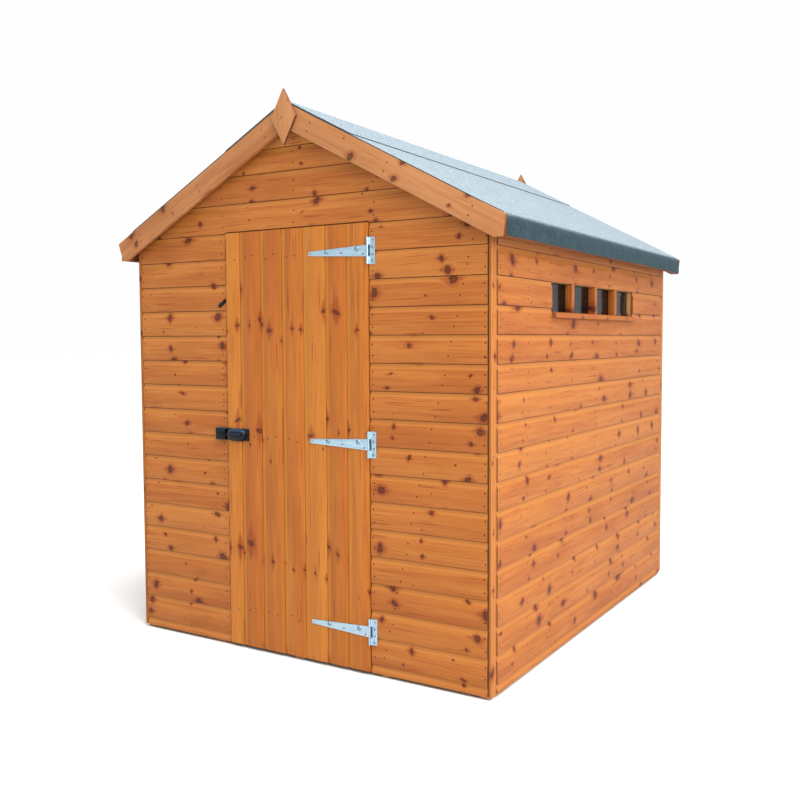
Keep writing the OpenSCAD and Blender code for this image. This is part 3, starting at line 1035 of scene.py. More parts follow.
# %% The brace behind the right-hand front panel
BRACE_FOOT_X = 0.444
BRACE_FOOT_Z = 0.080
BRACE_LEAN = 0.2413
BRACE_HALF = 0.0226
FRAME_T = 0.034
TIMBER_W = 0.044
JAMB_W = 0.076
STOP_REACH = 0.018
SLACK = 0.0005


def brace_middle(height):
    """Where the middle of the brace is at a height."""
    return BRACE_FOOT_X + BRACE_LEAN * (height - BRACE_FOOT_Z)


def brace_height(x):
    return BRACE_FOOT_Z + (x - BRACE_FOOT_X) / BRACE_LEAN


rails_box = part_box("front_rails")
jamb_x = DOORWAY - STOP_REACH + JAMB_W + SLACK
stud_x = HALF_PANEL - TIMBER_W - SLACK
foot = rails_box[0].z + TIMBER_W + SLACK
head = rails_box[1].z - TIMBER_W - SLACK
outline = [
    (jamb_x, foot),
    (brace_middle(foot) + BRACE_HALF, foot),
    (stud_x, brace_height(stud_x - BRACE_HALF)),
    (stud_x, head),
    (brace_middle(head) - BRACE_HALF, head),
    (jamb_x, brace_height(jamb_x + BRACE_HALF)),
]
corners = [(x, FRONT_BACK + out, z) for out in (0.0004, FRAME_T) for x, z in outline]
mesh = new_mesh("panel_brace_front_right", corners, skin(2, len(outline)), sawn["Z"])
settle(finish_mesh(mesh, 5.0), "shed", "timber")

# %% [markdown]
# ## The window
#
# The slit window has three upright bars between fixed panes set back from the face, and a sill
# with a sloping top. Bars and sill are planed wood, so they are boards again. The panes are
# thin clear sheet, IOR 1.5. The room behind is unlit, so half of each pane is given a near-black
# colour as painted shade, and the other half of what lies behind still shows through.

# %% Window bars and sill
bars_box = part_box("window_bars")
sill_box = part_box("window_sill")
BAR_W = 0.027
bar_starts = [bars_box[0].y, -0.024, bars_box[1].y - BAR_W]
BAR_D = bars_box[1].x - bars_box[0].x


def bar_place(start):
    return lambda a, b, c: Vector((bars_box[0].x + c, start + b, a))


planks = [
    plank(squared(BAR_W, BAR_D), opening[0].z, opening[1].z, bar_place(start), fresh_grain())
    for start in bar_starts
]
piece = build_planks("slit_window_bars", planks, cladding_pine, cut_end)
settle(piece, "shed", "cladding", "window_bars")

sill_w = sill_box[1].x - sill_box[0].x
sill_h = sill_box[1].z - sill_box[0].z
sill_section = [
    (0.0, 0.0),
    (0.0, sill_w - 0.0015),
    (0.0015, sill_w),
    (sill_h - 0.0075, sill_w),
    (sill_h - 0.0055, sill_w - 0.0015),
    (sill_h - 0.0003, 0.0),
]


def sill_place(a, b, c):
    return Vector((sill_box[0].x + c, a, sill_box[0].z + b))


planks = [plank(sill_section, sill_box[0].y, sill_box[1].y, sill_place, fresh_grain())]
piece = build_planks("slit_window_sill", planks, cladding_pine, cut_end)
settle(piece, "shed", "cladding", "window_sill")


# %% Window panes
def clear_sheet():
    """Clear glazing sheet: half see-through and half a near-black blue-green, painted shade
    for the unlit room behind, with a dark gleam and a few faint smears."""
    # The near-black base colour at alpha 0.5 is painted shade standing in for the dark room.
    constants = {"Roughness": 0.05, "IOR": 1.5, "Alpha": 0.5, "Base Color": colour("#081318")}
    made, put, surface = new_material("clear_glazing_sheet", constants)
    smear = put("TexNoise", put("TexCoord").outputs["Object"], 7.0, 3.0)
    bump = {"Height": smear, "Strength": 0.12, "Distance": 0.01}
    feed(surface, {"Normal": put("Bump", feeds=bump)})
    return made


refinish("window_glass", clear_sheet())
print("panes", [round(v, 3) for v in opening[1] - opening[0]])

# %% [markdown]
# ## Roofing felt
#
# The roof is covered with bitumen felt faced in crushed green-grey slate. It bends softly over
# the eaves instead of creasing, hangs down about 80 mm, and its cut edge is never quite
# straight. Each slope is one sheet: a path runs from the ridge down the slope, round the fold
# and down the drop, and the sheet is that path swept along the building, 3 mm thick, with
# small waves in the drop. The granules are finer than a render can show, so they are drawn
# about 3 mm across.

# %% Felt material
def mineral_felt():
    """Slate-chipped bitumen felt: very rough, dark chips and a gleam of dust; faces that look up are
    painted pale as painted top light.
    """
    constants = {
        "Roughness": 0.95,
        "IOR": 1.5,
        "Specular IOR Level": 0.2,
        "Sheen Weight": 0.06,
        "Sheen Roughness": 0.5,
        "Sheen Tint": colour("#E6EEF2"),
    }
    made, put, surface = new_material("mineral_felt_slate_chippings", constants)
    spot = put("TexCoord").outputs["Object"]
    chips = put("SeparateColor", put("TexVoronoi", spot, 300.0).outputs["Color"])
    own, grit, lie = chips.outputs
    cloud = put("TexNoise", spot, 14.0, 5.0, 0.65)
    body = put("Mix", own, colour("#071A20"), colour("#21404D"), **RGBA)
    painted_top_light = put("Mix", own, colour("#53636C"), colour("#A6B4BC"), **RGBA)
    # Painted light: faces that look up, with some chips at random, are mixed to a pale colour as if lit
    # from above.
    up = put("SeparateXYZ", put("NewGeometry").outputs["Normal"]).outputs["Z"]
    flat = put("Math", lie, 0.3, up, operation="MULTIPLY_ADD")
    flat = put("MapRange", flat, 0.55, 1.1, **SOFT)
    body = put("Mix", flat, body, painted_top_light, **RGBA)
    clump = put("MapRange", put("TexNoise", spot, 130.0, 2.0), 0.48, 0.62, 0.0, 0.3, **SOFT)
    clump = put("Math", clump, flat, **TIMES)
    body = put("Mix", clump, body, colour("#3C4E58"), **RGBA)
    rubbed = put("MapRange", cloud, 0.4, 0.75, 0.0, 0.08, **SOFT)
    body = put("Mix", rubbed, body, colour("#5C7079"), **RGBA)
    feed(surface, {"Base Color": body})
    height = put("Math", grit, 0.0007, **TIMES)
    height = put("Math", height, put("Math", cloud, 0.0035, **TIMES))
    bump = {"Height": height, "Strength": 0.8, "Distance": 1.0}
    feed(surface, {"Normal": put("Bump", feeds=bump)})
    return made


felt = mineral_felt()
# The cut edge and the underside are bare bitumen, black-brown and dull.
dull = {"Roughness": 0.75, "IOR": 1.5}
bitumen = speckled("bitumen_cut_edge", dull, (300.0, 2.0), "#1F2223", "#3C4245")
print("felt materials ready")


# %% Felt sheets
FELT_T = 0.003
FOLD_R = 0.040
FELT_LIFT = 0.0003
felt_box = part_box("roof_felt_right")
fold_turn = math.pi / 2 - PITCH
fold_reach = FOLD_R * math.tan(fold_turn / 2)
fold_x = ROOF_HALF - fold_reach * math.cos(PITCH)
eaves_z = RIDGE - RISE * ROOF_HALF


def felt_path(lift):
    """Points (x, z) down the slope, round the fold and down the drop, lifted off the deck."""
    up = lift / math.cos(PITCH)
    points = [(fold_x * i / 12, RIDGE - RISE * fold_x * i / 12 + up) for i in range(12)]
    radius = FOLD_R + lift
    centre = (ROOF_HALF - FOLD_R, eaves_z - fold_reach)
    for i in range(9):
        turn = PITCH + fold_turn * i / 8
        points.append(
            (centre[0] + radius * math.sin(turn), centre[1] + radius * math.cos(turn))
        )
    foot = felt_box[0].z
    start = points[-1]
    drops = 4
    for i in range(1, drops + 1):
        points.append((start[0], start[1] + (foot - start[1]) * i / drops))
    return points


def swept_sheet(name, side, upper, lower, half_lengths, wave, cells):
    """A closed sheet between two paths, carried along the building."""
    count = len(upper)
    points, faces, slots = [], [], []
    phase = chance.uniform(0, 6)
    for j in range(cells + 1):
        share = 2 * j / cells - 1
        for path in (upper, lower):
            for i, (x, z) in enumerate(path):
                y = share * half_lengths(i)
                down = wave(i) * (
                    0.5 * math.sin(5.3 * y + phase)
                    + 0.3 * math.sin(13.1 * y + 2 * phase)
                    + 0.2 * math.sin(31.0 * y + 3 * phase)
                    - 1.0
                )
                points.append((side * x, y, z - down * 0.5))
    ring = 2 * count
    for j in range(cells):
        here, after = j * ring, (j + 1) * ring
        for i in range(count - 1):
            faces.append((here + i, here + i + 1, after + i + 1, after + i))
            slots.append(0)
            k = count + i
            faces.append((here + k, after + k, after + k + 1, here + k + 1))
            slots.append(1)
        faces.append((here, after, after + count, here + count))
        slots.append(1)
        last = count - 1
        faces.append((here + last, here + ring - 1, after + ring - 1, after + last))
        slots.append(1)
    for j in (0, cells):
        here = j * ring
        for i in range(count - 1):
            faces.append((here + i, here + count + i, here + count + i + 1, here + i + 1))
            slots.append(1)
    mesh = new_mesh(name, points, faces, felt, bitumen)
    mesh.polygons.foreach_set("material_index", slots)
    return finish_mesh(mesh, 40)


def slope_or_drop(i):
    """The sheet is as long as the barge boards on the slope, and shorter past the fold."""
    return VERGE_Y if i <= 11 else ROOF_Y


def drop_wave(i):
    return 0.006 * max(0, i - 20) / 4


for side, label in ((-1, "left"), (1, "right")):
    upper = felt_path(FELT_LIFT + FELT_T)
    lower = felt_path(FELT_LIFT)
    piece = swept_sheet(f"felt_sheet_{label}", side, upper, lower, slope_or_drop, drop_wave, 60)
    settle(piece, "shed", "felt", f"roof_felt_{label}")


# %% Ridge strip
RIDGE_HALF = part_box("ridge_felt")[1].x


def ridge_path(lift):
    up = lift / math.cos(PITCH)
    slope = [(RIDGE_HALF * i / 6, RIDGE - RISE * RIDGE_HALF * i / 6 + up) for i in range(7)]
    return [(-x, z) for x, z in reversed(slope[1:])] + slope


piece = swept_sheet(
    "felt_ridge_strip",
    1,
    ridge_path(2 * FELT_T + 3 * FELT_LIFT),
    ridge_path(FELT_T + 3 * FELT_LIFT),
    lambda i: VERGE_Y,
    lambda i: 0.0,
    24,
)
settle(piece, "shed", "felt", "ridge_felt")

# %% [markdown]
# ## Turned and pressed metal
#
# Nails, screws, coach bolts, knuckles and pins are all round, so one helper turns an outline
# about an axis like a lathe. Flat pressed parts such as the hinge straps are outlines with
# holes: Blender's flat curves fill an outline, leave its holes open, give it thickness and
# ease its edges in one go, which is simpler than cutting holes in a mesh.

# %% Metal materials
def zinc_steel():
    """Galvanised steel: pale blue-grey zinc with soft spangles 4 to 8 mm across."""
    made, put, surface = new_material("galvanised_steel_pressed", {"Metallic": 1.0})
    spot = put("TexCoord").outputs["Object"]
    spangle = put("SeparateColor", put("TexVoronoi", spot, 160.0).outputs["Color"])
    body = put("Mix", spangle, colour("#A3BFD0"), colour("#AECADB"), **RGBA)
    grime = put("MapRange", put("TexNoise", spot, 60.0, 4.0), 0.5, 0.8, 0.0, 0.2, **SOFT)
    body = put("Mix", grime, body, colour("#8299AC"), **RGBA)
    gleam = put("MapRange", spangle.outputs[1], 0.0, 1.0, 0.34, 0.44)
    feed(surface, {"Base Color": body, "Roughness": gleam})
    return made


def black_coat():
    """Black powder coat: half gloss, fine orange peel, a blue-grey painted sky reflection where it
    faces up.
    """
    constants = {"Roughness": 0.22, "IOR": 1.5, "Specular IOR Level": 0.2}
    made, put, surface = new_material("black_powder_coat", constants)
    spot = put("TexCoord").outputs["Object"]
    grey = put("MapRange", put("TexNoise", spot, 30.0, 4.0), 0.45, 0.8, **SOFT)
    body = put("Mix", grey, colour("#04080A"), colour("#0A1216"), **RGBA)
    up = put("SeparateXYZ", put("NewGeometry").outputs["Normal"]).outputs["Z"]
    # Painted reflection: faces that look up are mixed to blue-grey as if they reflected the sky.
    painted_sky_reflection = put("MapRange", up, 0.05, 0.75, 0.0, 0.85, **SOFT)
    feed(surface, {"Base Color": put("Mix", painted_sky_reflection, body, colour("#1D3A52"), **RGBA)})
    bump = {"Height": put("TexNoise", spot, 260.0, 2.0), "Strength": 0.25, "Distance": 0.0006}
    feed(surface, {"Normal": put("Bump", feeds=bump)})
    return made


zinc = zinc_steel()
black = black_coat()
# Bolts and screws are bright zinc plate: smoother, so a dome shows light and dark.
plated = {"Metallic": 1.0, "Roughness": 0.2}
bright = speckled("bolt_bright_zinc_plate", plated, (500.0, 2.0), "#5E7C8C", "#90AABA")
# Wire nails are dulled brown-grey where the dip has stained them.
stained = {"Metallic": 0.0, "Roughness": 0.8, "IOR": 1.45}
nail_finish = speckled("wire_nail_stained", stained, (400.0, 1.0), "#0E0A08", "#221A14")
print("metal materials ready")


# %% Helpers for metal
def turned_mesh(outline, sides, place):
    """Rings of an outline of (radius, out) turned about an axis; place maps a point."""
    points = []
    for radius, out in outline:
        for i in range(sides):
            angle = 2 * math.pi * i / sides
            points.append(place(radius * math.cos(angle), radius * math.sin(angle), out))
    return points, skin(len(outline), sides)


def build_mesh(name, chunks, material, smooth=35.0):
    """Chunks of (points, faces) as one object in one finish."""
    points, faces = [], []
    for chunk_points, chunk_faces in chunks:
        base = len(points)
        points += chunk_points
        faces += [tuple(base + n for n in face) for face in chunk_faces]
    return finish_mesh(new_mesh(name, points, faces, material), smooth)


def circle_points(x, z, radius, count=20):
    """Points round a circle, for an outline or a hole."""
    turns = [2 * math.pi * i / count for i in range(count)]
    return [(x + radius * math.cos(t), z + radius * math.sin(t)) for t in turns]


def pressed_chunk(loops, thick, ease, place):
    """A flat part with holes: the first loop is its outline, the others are holes."""
    curve = bpy.data.curves.new("pressing", "CURVE")
    curve.dimensions = "2D"
    curve.fill_mode = "BOTH"
    curve.extrude = thick / 2 - ease
    curve.bevel_depth = ease
    curve.bevel_resolution = 1
    curve.offset = -ease
    for loop in loops:
        spline = curve.splines.new("POLY")
        spline.points.add(len(loop) - 1)
        for point, (x, z) in zip(spline.points, loop):
            point.co = (x, z, 0.0, 1.0)
        spline.use_cyclic_u = True
    holder = show("pressing", curve)
    flat = holder.to_mesh()
    points = [place(v.co.x, v.co.y, v.co.z + thick / 2) for v in flat.vertices]
    faces = [tuple(p.vertices) for p in flat.polygons]
    holder.to_mesh_clear()
    bpy.data.objects.remove(holder)
    bpy.data.curves.remove(curve)
    return weld(points, faces)


def weld(points, faces):
    """Points that coincide become one, so that the part is closed."""
    index, kept, names = {}, [], []
    for point in points:
        key = tuple(round(v, 6) for v in point)
        if key not in index:
            index[key] = len(kept)
            kept.append(point)
        names.append(index[key])
    clean = []
    for face in faces:
        ring = [names[n] for n in face]
        ring = [n for i, n in enumerate(ring) if n != ring[i - 1]]
        if len(set(ring)) > 2:
            clean.append(tuple(ring))
    return kept, clean


print("helpers for metal ready")

# %% [markdown]
# ## Nails
#
# Two small wire nails fix every board to each stud behind it, and they read as rows of dark
# dots. They could be drawn in the material, but a real head catches the light, so each is a
# tiny low dome. Hundreds of them are one mesh per wall. Their places follow the studs of the
# frame, with a little of the carpenter's scatter.

# %% Nails in the walls
NAIL_R = 0.0033
NAIL_OUT = 0.0006
NAIL_SINK = 0.0007
scatter = random.Random(31)


def nail_chunk(spot, out, radius=NAIL_R, rise=NAIL_OUT, sides=10):
    """A low domed head at a spot on a face that looks along out."""
    turn = out.to_track_quat("Z", "Y")
    outline = ((radius, -0.0008), (radius, rise * 0.4), (radius * 0.6, rise))

    def place(x, y, z):
        return spot + turn @ Vector((x, y, z))

    return turned_mesh(outline, sides, place)


def nail_pair_heights(top):
    """Heights of the nails of every board up to a level, two a board."""
    row = 0
    while level_of(row) < top - 0.03:
        for share in (0.25, 0.68):
            height = level_of(row) + share * COVER
            if height < top - 0.008:
                yield height
        row += 1


def jitter(size):
    """The carpenter's error, up to a size either way."""
    return scatter.uniform(-size, size)


window_edge = opening[0].y
stud_lines = [-1.040, -0.786, window_edge - 0.014]
stud_lines += [start + BAR_W / 2 for start in bar_starts]
stud_lines += [opening[1].y + 0.014, 0.804, 1.040]
front_lines = [-0.898, -0.404, 0.398, 0.902]
back_lines = [-0.894, -0.422, 0.0, 0.422, 0.894]

chunks = []
for x in front_lines:
    for height in nail_pair_heights(DOORWAY_TOP):
        spot = Vector((x + jitter(0.004), FRONT_Y, height + jitter(0.004)))
        chunks.append(nail_chunk(spot, Vector((0, -1, 0))))
for height in nail_pair_heights(DOORWAY_TOP - 0.06):
    x = brace_middle(height) + jitter(0.006)
    chunks.append(nail_chunk(Vector((x, FRONT_Y, height + jitter(0.012))), Vector((0, -1, 0))))
for end in (-1, 1):
    for x in (-0.402, 0.0, 0.404):
        for height in nail_pair_heights(under_roof(x) - 0.05):
            if height > DOORWAY_TOP:
                spot = Vector((x + jitter(0.004), end * BACK_Y, height + jitter(0.004)))
                chunks.append(nail_chunk(spot, Vector((0, end, 0))))
for x in back_lines:
    for height in nail_pair_heights(DOORWAY_TOP):
        spot = Vector((x + jitter(0.005), BACK_Y, height + jitter(0.004)))
        chunks.append(nail_chunk(spot, Vector((0, 1, 0))))
settle(build_mesh("nails_front_and_back", chunks, nail_finish), "shed", "galvanised")

chunks = []
for side in (-1, 1):
    for y in stud_lines:
        for height in nail_pair_heights(side_top - 0.02):
            beside = y + jitter(0.004)
            in_window = opening[0].z - 0.003 < height < opening[1].z + 0.003
            if side > 0 and in_window and opening[0].y < y < opening[1].y:
                continue
            spot = Vector((side * HALF_OUT, beside, height + jitter(0.004)))
            chunks.append(nail_chunk(spot, Vector((side, 0, 0))))
    for end in (-1, 1):
        for i in range(7):
            height = 0.12 + i * 0.27 + jitter(0.01)
            spot = Vector((side * (HALF_PANEL + STRIP_T), end * (SIDE_END + STRIP_W / 2), height))
            chunks.append(nail_chunk(spot, Vector((side, 0, 0))))
settle(build_mesh("nails_sides", chunks, nail_finish), "shed", "galvanised")

# %% Nails in the roof trim and the felt
CLOUT_R = 0.0045
chunks = []
for side in (-1, 1):
    for end in (-1, 1):
        for i in range(3):
            down = 0.16 + i * 0.42
            for drop in (0.030, 0.066):
                x = down * math.cos(PITCH) - drop * math.sin(PITCH)
                z = RIDGE - down * math.sin(PITCH) - drop * math.cos(PITCH)
                spot = Vector((side * x, end * VERGE_Y, z))
                chunks.append(nail_chunk(spot, Vector((0, end, 0))))
for end in (-1, 1):
    for z in (FINIAL_MID - 0.04, FINIAL_MID + 0.04):
        spot = Vector((0, end * (VERGE_Y + FINIAL_T - NAIL_SINK), z))
        chunks.append(nail_chunk(spot, Vector((0, end, 0))))
settle(build_mesh("nails_barge_boards", chunks, nail_finish), "shed", "galvanised")

chunks = []
clout_z = felt_box[0].z + 0.024
for side in (-1, 1):
    for i in range(17):
        y = -ROOF_Y + 0.06 + i * (2 * ROOF_Y - 0.12) / 16 + jitter(0.02)
        spot = Vector((side * (felt_box[1].x - NAIL_SINK), y, clout_z + jitter(0.006)))
        chunks.append(nail_chunk(spot, Vector((side, 0, 0)), CLOUT_R, NAIL_OUT, 14))
settle(build_mesh("clout_nails_felt", chunks, zinc), "shed", "galvanised")

# %% Nails in the door
chunks = []
ledge_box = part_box("door_ledges")
strap_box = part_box("hinge_straps")
hinge_heights = [0.181, 0.949, 1.728]
for z in hinge_heights:
    for left_edge, right_edge in zip(door_joints, door_joints[1:]):
        for share in (0.3, 0.62):
            x = left_edge + share * (right_edge - left_edge)
            if abs(x) > ledge_box[1].x:
                continue
            spot = Vector((x + jitter(0.006), LEAF_FACE, z + jitter(0.012)))
            if x < strap_box[0].x:
                chunks.append(nail_chunk(spot, Vector((0, -1, 0))))
settle(build_mesh("nails_door", chunks, nail_finish), "door", "galvanised")

# %% [markdown]
# ## T-hinges
#
# Each hinge is a long tapered strap on the door and an upright plate on the wall, joined by
# a rolled knuckle and a pin. They are pressed from galvanised sheet. Domed coach bolts and
# screws hold them, and the holes that were left empty show the wood.

# %% Hinge straps
HINGE_T = 0.0025
plates_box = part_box("hinge_plates")
PLATE_H = 0.108
KNUCKLE_R = 0.0046
AXIS = Vector((LEAF_HALF + 0.003, FRONT_Y - 0.0105, 0.0))
STRAP_LEN = AXIS.x - strap_box[0].x
STRAP_H = 0.045
TIP_R = 0.009
strap_front = LEAF_FACE - HINGE_T


def strap_loops():
    """The strap's outline about its middle line, then its holes."""
    tip_x = AXIS.x - STRAP_LEN + TIP_R
    root_x = AXIS.x - 0.002
    outline = [(root_x, -STRAP_H / 2), (root_x, STRAP_H / 2), (root_x - 0.012, STRAP_H / 2)]
    for i in range(13):
        angle = math.radians(94 + i * 172 / 12)
        outline.append((tip_x + TIP_R * math.cos(angle), TIP_R * math.sin(angle)))
    outline.append((root_x - 0.012, -STRAP_H / 2))
    from_tip = lambda share: AXIS.x - STRAP_LEN * (1 - share)
    holes = [
        circle_points(from_tip(0.035), 0.0, 0.0032),
        circle_points(from_tip(0.56), -0.004, 0.0038),
        circle_points(from_tip(0.925), -0.013, 0.0038),
    ]
    return [outline] + holes


def dome(radius, rise, steps=5):
    """The outline of a domed head, from its rim to its crown."""
    points = [(radius, 0.0)]
    for i in range(steps + 1):
        angle = math.pi / 2 * i / (steps + 0.35)
        points.append((radius * math.cos(angle), 0.0006 + rise * math.sin(angle)))
    return points


def facing_front(x, y, z):
    """A placer for round parts that stand out of the front at (x, y, z)."""
    return lambda a, b, out: Vector((x + a, y - out, z + b))


def upright_at(x, y):
    return lambda a, b, up: Vector((x + a, y + b, up))


chunks = []
bolts = []
for z in hinge_heights:
    place = lambda x, up, out, z=z: Vector((x, LEAF_FACE - out, z + up))
    chunks.append(pressed_chunk(strap_loops(), HINGE_T, 0.0004, place))
    low, high = z - STRAP_H / 2, z + STRAP_H / 2
    roll = [
        (KNUCKLE_R - 0.0006, low),
        (KNUCKLE_R, low + 0.0006),
        (KNUCKLE_R, high - 0.0006),
        (KNUCKLE_R - 0.0006, high),
    ]
    chunks.append(turned_mesh(roll, 28, upright_at(AXIS.x, AXIS.y)))
    for share, radius, up in ((0.31, 0.0088, 0.003), (0.82, 0.0100, 0.008)):
        x = AXIS.x - STRAP_LEN * (1 - share)
        place = facing_front(x, strap_front, z + up)
        bolts.append(turned_mesh(dome(radius, 0.0062), 28, place))
settle(build_mesh("hinge_straps_pressed", chunks, zinc), "door", "galvanised", "hinge_straps")
settle(build_mesh("hinge_bolts", bolts, bright), "door", "galvanised")

# %% Hinge plates
plate_left = AXIS.x + KNUCKLE_R
plate_right = plates_box[1].x
plate_start = AXIS.x + 0.0025
plate_front = FRONT_Y - HINGE_T
plate_middle = plate_left + 0.6 * (plate_right - plate_left)


def plate_loops():
    """The plate's outline with eased corners, then its holes."""
    wide, tight = 0.004, 0.0005
    right, left, half = plate_right - wide, plate_start + tight, PLATE_H / 2
    outline = arcs(
        [
            (right, half - wide, wide),
            (left, half - tight, tight),
            (left, tight - half, tight),
            (right, wide - half, wide),
        ]
    )
    holes = [circle_points(plate_middle, half - share * PLATE_H, 0.0034) for share in (0.11, 0.64)]
    return [outline] + holes


def rolled_leaf(low, high):
    """The plate's metal rolled round the pin: a round section with a tail to the plate."""
    ring = []
    for i in range(24):
        angle = math.radians(84 + i * 322 / 23)
        ring.append((KNUCKLE_R * math.cos(angle), KNUCKLE_R * math.sin(angle)))
    back = plate_front - AXIS.y + 0.0004
    tail = [(KNUCKLE_R + 0.0055, back - 0.0002), (KNUCKLE_R + 0.0040, back + 0.0018)]
    section = ring + tail
    points = []
    for z in (low, high):
        points += [Vector((AXIS.x + x, AXIS.y + y, z)) for x, y in section]
    return points, skin(2, len(section))


chunks = []
screws = []
for z in hinge_heights:
    place = lambda x, up, out, z=z: Vector((x, FRONT_Y - out, z + up))
    chunks.append(pressed_chunk(plate_loops(), HINGE_T, 0.0004, place))
    gap = STRAP_H / 2 + 0.0005
    chunks.append(rolled_leaf(z + gap, z + PLATE_H / 2 - 0.001))
    chunks.append(rolled_leaf(z - PLATE_H / 2 + 0.001, z - gap))
    pin = [
        (0.0016, z - PLATE_H / 2 - 0.0012),
        (0.0025, z - PLATE_H / 2),
        (0.0025, z + PLATE_H / 2),
        (0.0016, z + PLATE_H / 2 + 0.0012),
    ]
    chunks.append(turned_mesh(pin, 16, upright_at(AXIS.x, AXIS.y)))
    for share in (0.37, 0.88):
        up = z + PLATE_H / 2 - share * PLATE_H
        place = facing_front(plate_middle, plate_front, up)
        screws.append(turned_mesh(dome(0.0062, 0.0034), 22, place))
settle(build_mesh("hinge_plates_pressed", chunks, zinc), "shed", "galvanised", "hinge_plates")
settle(build_mesh("hinge_screws", screws, bright), "shed", "galvanised")

# %% [markdown]
# ## The lock
#
# A black surface lock sits across the gap at the door's free edge: a flat keeper on the wall,
# and on the door a back plate with a domed cover that has an arched top and a raised rib. Both
# are lofted here: one outline after another, each a little smaller and further out, so the
# shoulders come out round.

# %% Helper for domed covers
def rounded_outline(width, height, radius, steps=5):
    """A rectangle about its middle with rounded corners."""
    x, z = width / 2 - radius, height / 2 - radius
    return arcs([(x, z, radius), (-x, z, radius), (-x, -z, radius), (x, -z, radius)], steps)


def lofted(outlines, place):
    """A closed skin over outlines of equal length, each (points, out)."""
    points = [place(x, z, out) for loop, out in outlines for x, z in loop]
    return points, skin(len(outlines), len(outlines[0][0]))


def pillow(width, height, radius, out, shoulder, place, steps=5):
    """A block with a rounded shoulder all round its front."""
    rings = [(rounded_outline(width, height, radius), 0.0)]
    for i in range(steps + 1):
        angle = math.pi / 2 * i / steps
        inset = shoulder * (1 - math.cos(angle))
        corner = max(radius - inset, 0.001)
        loop = rounded_outline(width - 2 * inset, height - 2 * inset, corner)
        rings.append((loop, out - shoulder + shoulder * math.sin(angle)))
    return lofted(rings, place)


print("helper for domed covers ready")

# %% Lock and keeper
case_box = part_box("lock_case")
keeper_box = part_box("lock_keeper")
lock_z = (case_box[0].z + case_box[1].z) / 2
lock_h = case_box[1].z - case_box[0].z
case_len = case_box[1].x - case_box[0].x
keeper_len = keeper_box[1].x - keeper_box[0].x
keeper_out = FRONT_Y - keeper_box[0].y
case_out = LEAF_FACE - case_box[0].y


def cover_outline(scale):
    """The cover: a straight left edge, an arched top and a fuller curve below."""
    length, up, down = 0.106 * scale, 0.027 * scale, 0.031 * scale
    points = []
    steps = 28
    for i in range(steps):
        angle = 2 * math.pi * i / steps
        x = math.cos(angle)
        z = math.sin(angle)
        x = math.copysign(abs(x) ** 0.62, x)
        z = math.copysign(abs(z) ** 0.78, z)
        points.append((x * length / 2, z * (up if z > 0 else down)))
    return points


def lock_place(x, z, out_from):
    return lambda a, b, out: Vector((x + a, out_from - out, z + b))


chunks = []
middle = (case_box[0].x + case_box[1].x) / 2
place = lock_place(middle, lock_z, LEAF_FACE)
chunks.append(pillow(case_len, lock_h, 0.004, 0.005, 0.0018, place, 3))
cover_x = case_box[0].x + 0.058
place = lock_place(cover_x, lock_z, LEAF_FACE - 0.004)
rings = []
for i in range(9):
    angle = math.pi / 2 * i / 8.6
    rings.append((cover_outline(math.cos(angle) ** 0.55), (case_out - 0.012) * math.sin(angle)))
chunks.append(lofted(rings, place))
place = lock_place(cover_x, lock_z + 0.001, LEAF_FACE - case_out + 0.016)
chunks.append(pillow(0.078, 0.009, 0.0042, 0.0155, 0.0042, place, 4))
for up in (-0.017, 0.017):
    place = facing_front(case_box[1].x - 0.011, LEAF_FACE - 0.005, lock_z + up)
    chunks.append(turned_mesh(dome(0.0036, 0.0016), 18, place))
settle(build_mesh("lock_cover", chunks, black, 50.0), "door", "black_lock", "lock_case")

chunks = []
middle = (keeper_box[0].x + keeper_box[1].x) / 2
place = lock_place(middle, lock_z, FRONT_Y)
chunks.append(pillow(keeper_len, lock_h, 0.006, keeper_out - 0.003, 0.005, place, 5))
place = lock_place(middle, lock_z, FRONT_Y - keeper_out + 0.005)
chunks.append(pillow(keeper_len - 0.016, lock_h - 0.024, 0.004, 0.005, 0.002, place, 3))
settle(build_mesh("lock_keeper_box", chunks, black, 50.0), "shed", "black_lock", "lock_keeper")

# %% Turn bar
bar_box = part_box("turn_bar")
bar_w = bar_box[1].x - bar_box[0].x
bar_h = bar_box[1].z - bar_box[0].z


def turn_bar_loop():
    """A slanting bar with one round end, cut plumb beside the door."""
    low = bar_box[0].z + 0.009
    points = [(bar_box[1].x, bar_box[1].z), (bar_box[1].x, bar_box[1].z - 0.018)]
    slant = math.atan2(bar_h - 0.018, bar_w)
    for i in range(9):
        angle = slant - math.pi / 2 - math.pi * i / 8
        points.append(
            (
                bar_box[0].x + 0.008 + 0.008 * math.cos(angle),
                low + 0.008 * math.sin(angle),
            )
        )
    return points


bar_t = FRONT_Y - bar_box[0].y
place = lambda x, z, out: Vector((x, FRONT_Y - out, z))
chunks = [pressed_chunk([turn_bar_loop()], bar_t - 0.002, 0.0012, place)]
middle = (bar_box[0].x + bar_box[1].x) / 2
place = facing_front(middle, FRONT_Y - bar_t + 0.0022, (bar_box[0].z + bar_box[1].z) / 2)
chunks.append(turned_mesh(dome(0.005, 0.0014), 18, place))
settle(build_mesh("turn_bar_slanted", chunks, black, 40.0), "shed", "black_lock", "turn_bar")

# %% [markdown]
# ## Camera, light and floor
#
# The shed stands on a plain pale floor under soft light, as in a studio: a bright even
# surround fills every side, a large soft lamp over the window side's front corner makes that
# wall the brightest, and a wide one overhead lights the roof.

# %% Camera
CAMERA_PLACE = Vector((2.452, -4.166, 1.377))
CAMERA_YAW = math.radians(30.45)
CAMERA_PITCH = math.radians(-3.20)
CAMERA_ROLL = math.radians(-0.17)
CAMERA_LENS = 41.24

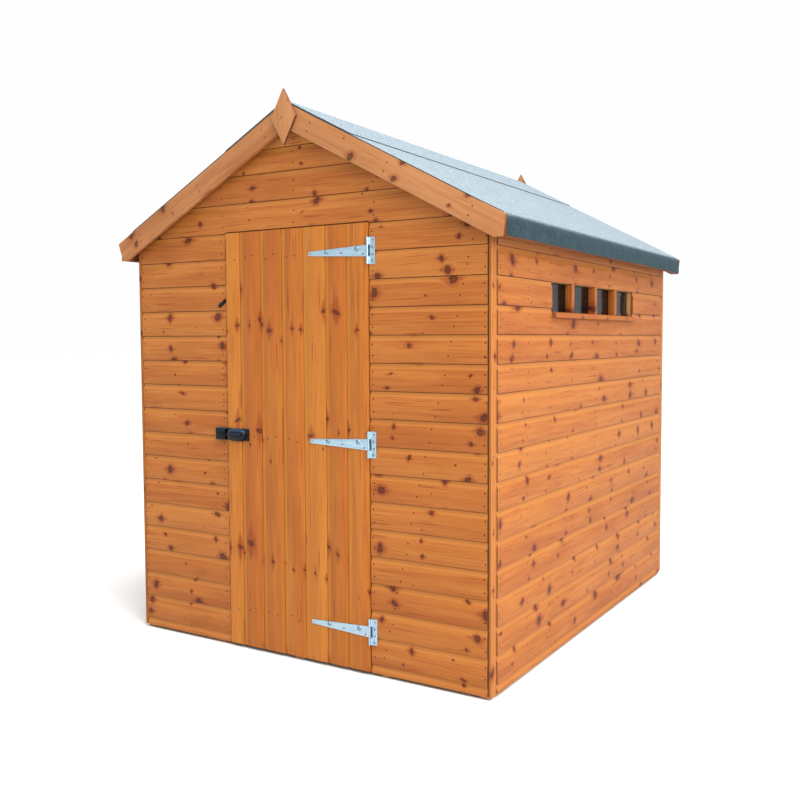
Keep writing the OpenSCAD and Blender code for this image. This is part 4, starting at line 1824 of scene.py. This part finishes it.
camera_data = bpy.data.cameras.new("camera")
camera_data.sensor_width = 36.0
camera_data.lens = CAMERA_LENS
camera_data.shift_x = -0.0356
camera_data.shift_y = -0.0129
camera = show("camera", camera_data)
turn = (
    Matrix.Rotation(CAMERA_YAW, 4, "Z")
    @ Matrix.Rotation(math.pi / 2 + CAMERA_PITCH, 4, "X")
    @ Matrix.Rotation(CAMERA_ROLL, 4, "Z")
)
camera.matrix_world = Matrix.Translation(CAMERA_PLACE) @ turn
bpy.context.scene.camera = camera
print("camera", [round(v, 2) for v in CAMERA_PLACE], "lens", CAMERA_LENS)


# %% Light and floor
def soft_lamp(name, place, aim, size, power, tint):
    """A large square lamp aimed at a point."""
    data = bpy.data.lights.new(name, "AREA")
    data.size = size
    data.energy = power
    data.color = colour(tint)[:3]
    made = show(name, data)
    made.location = place
    made.rotation_euler = (Vector(aim) - Vector(place)).to_track_quat("-Z", "Y").to_euler()


soft_lamp("key", (5.3, -3.2, 3.3), (0.9, -0.7, 1.1), 2.6, 235, "#FFF1E0")
soft_lamp("sky", (0.8, -0.6, 8.0), (0.0, 0.0, 1.5), 6.0, 420, "#F4F8FF")

sun_data = bpy.data.lights.new("veiled_sun", "SUN")
sun_data.energy = 1.9
sun_data.angle = math.radians(22)
sun = show("veiled_sun", sun_data)
sun.rotation_euler = Vector((-0.46, 0.24, -1.0)).to_track_quat("-Z", "Y").to_euler()

world = bpy.data.worlds.new("surround")
world.use_nodes = True
background = world.node_tree.nodes["Background"]
background.inputs["Color"].default_value = colour("#FEFEFF")
background.inputs["Strength"].default_value = 1.0
bpy.context.scene.world = world
bpy.context.scene.view_settings.view_transform = "Standard"


FLOOR_REACH = 60.0
FLOOR_LEVEL = -0.001
corners = [
    (x * FLOOR_REACH, y * FLOOR_REACH, FLOOR_LEVEL) for x, y in ((-1, -1), (1, -1), (1, 1), (-1, 1))
]
matt = speckled("studio_floor_matt", {"Roughness": 0.95}, (0.8, 2.0), "#D9D9D7", "#DEDEDC")
floor = show("studio_floor", new_mesh("studio_floor", corners, [(0, 1, 2, 3)], matt))
print("floor and lamps ready")
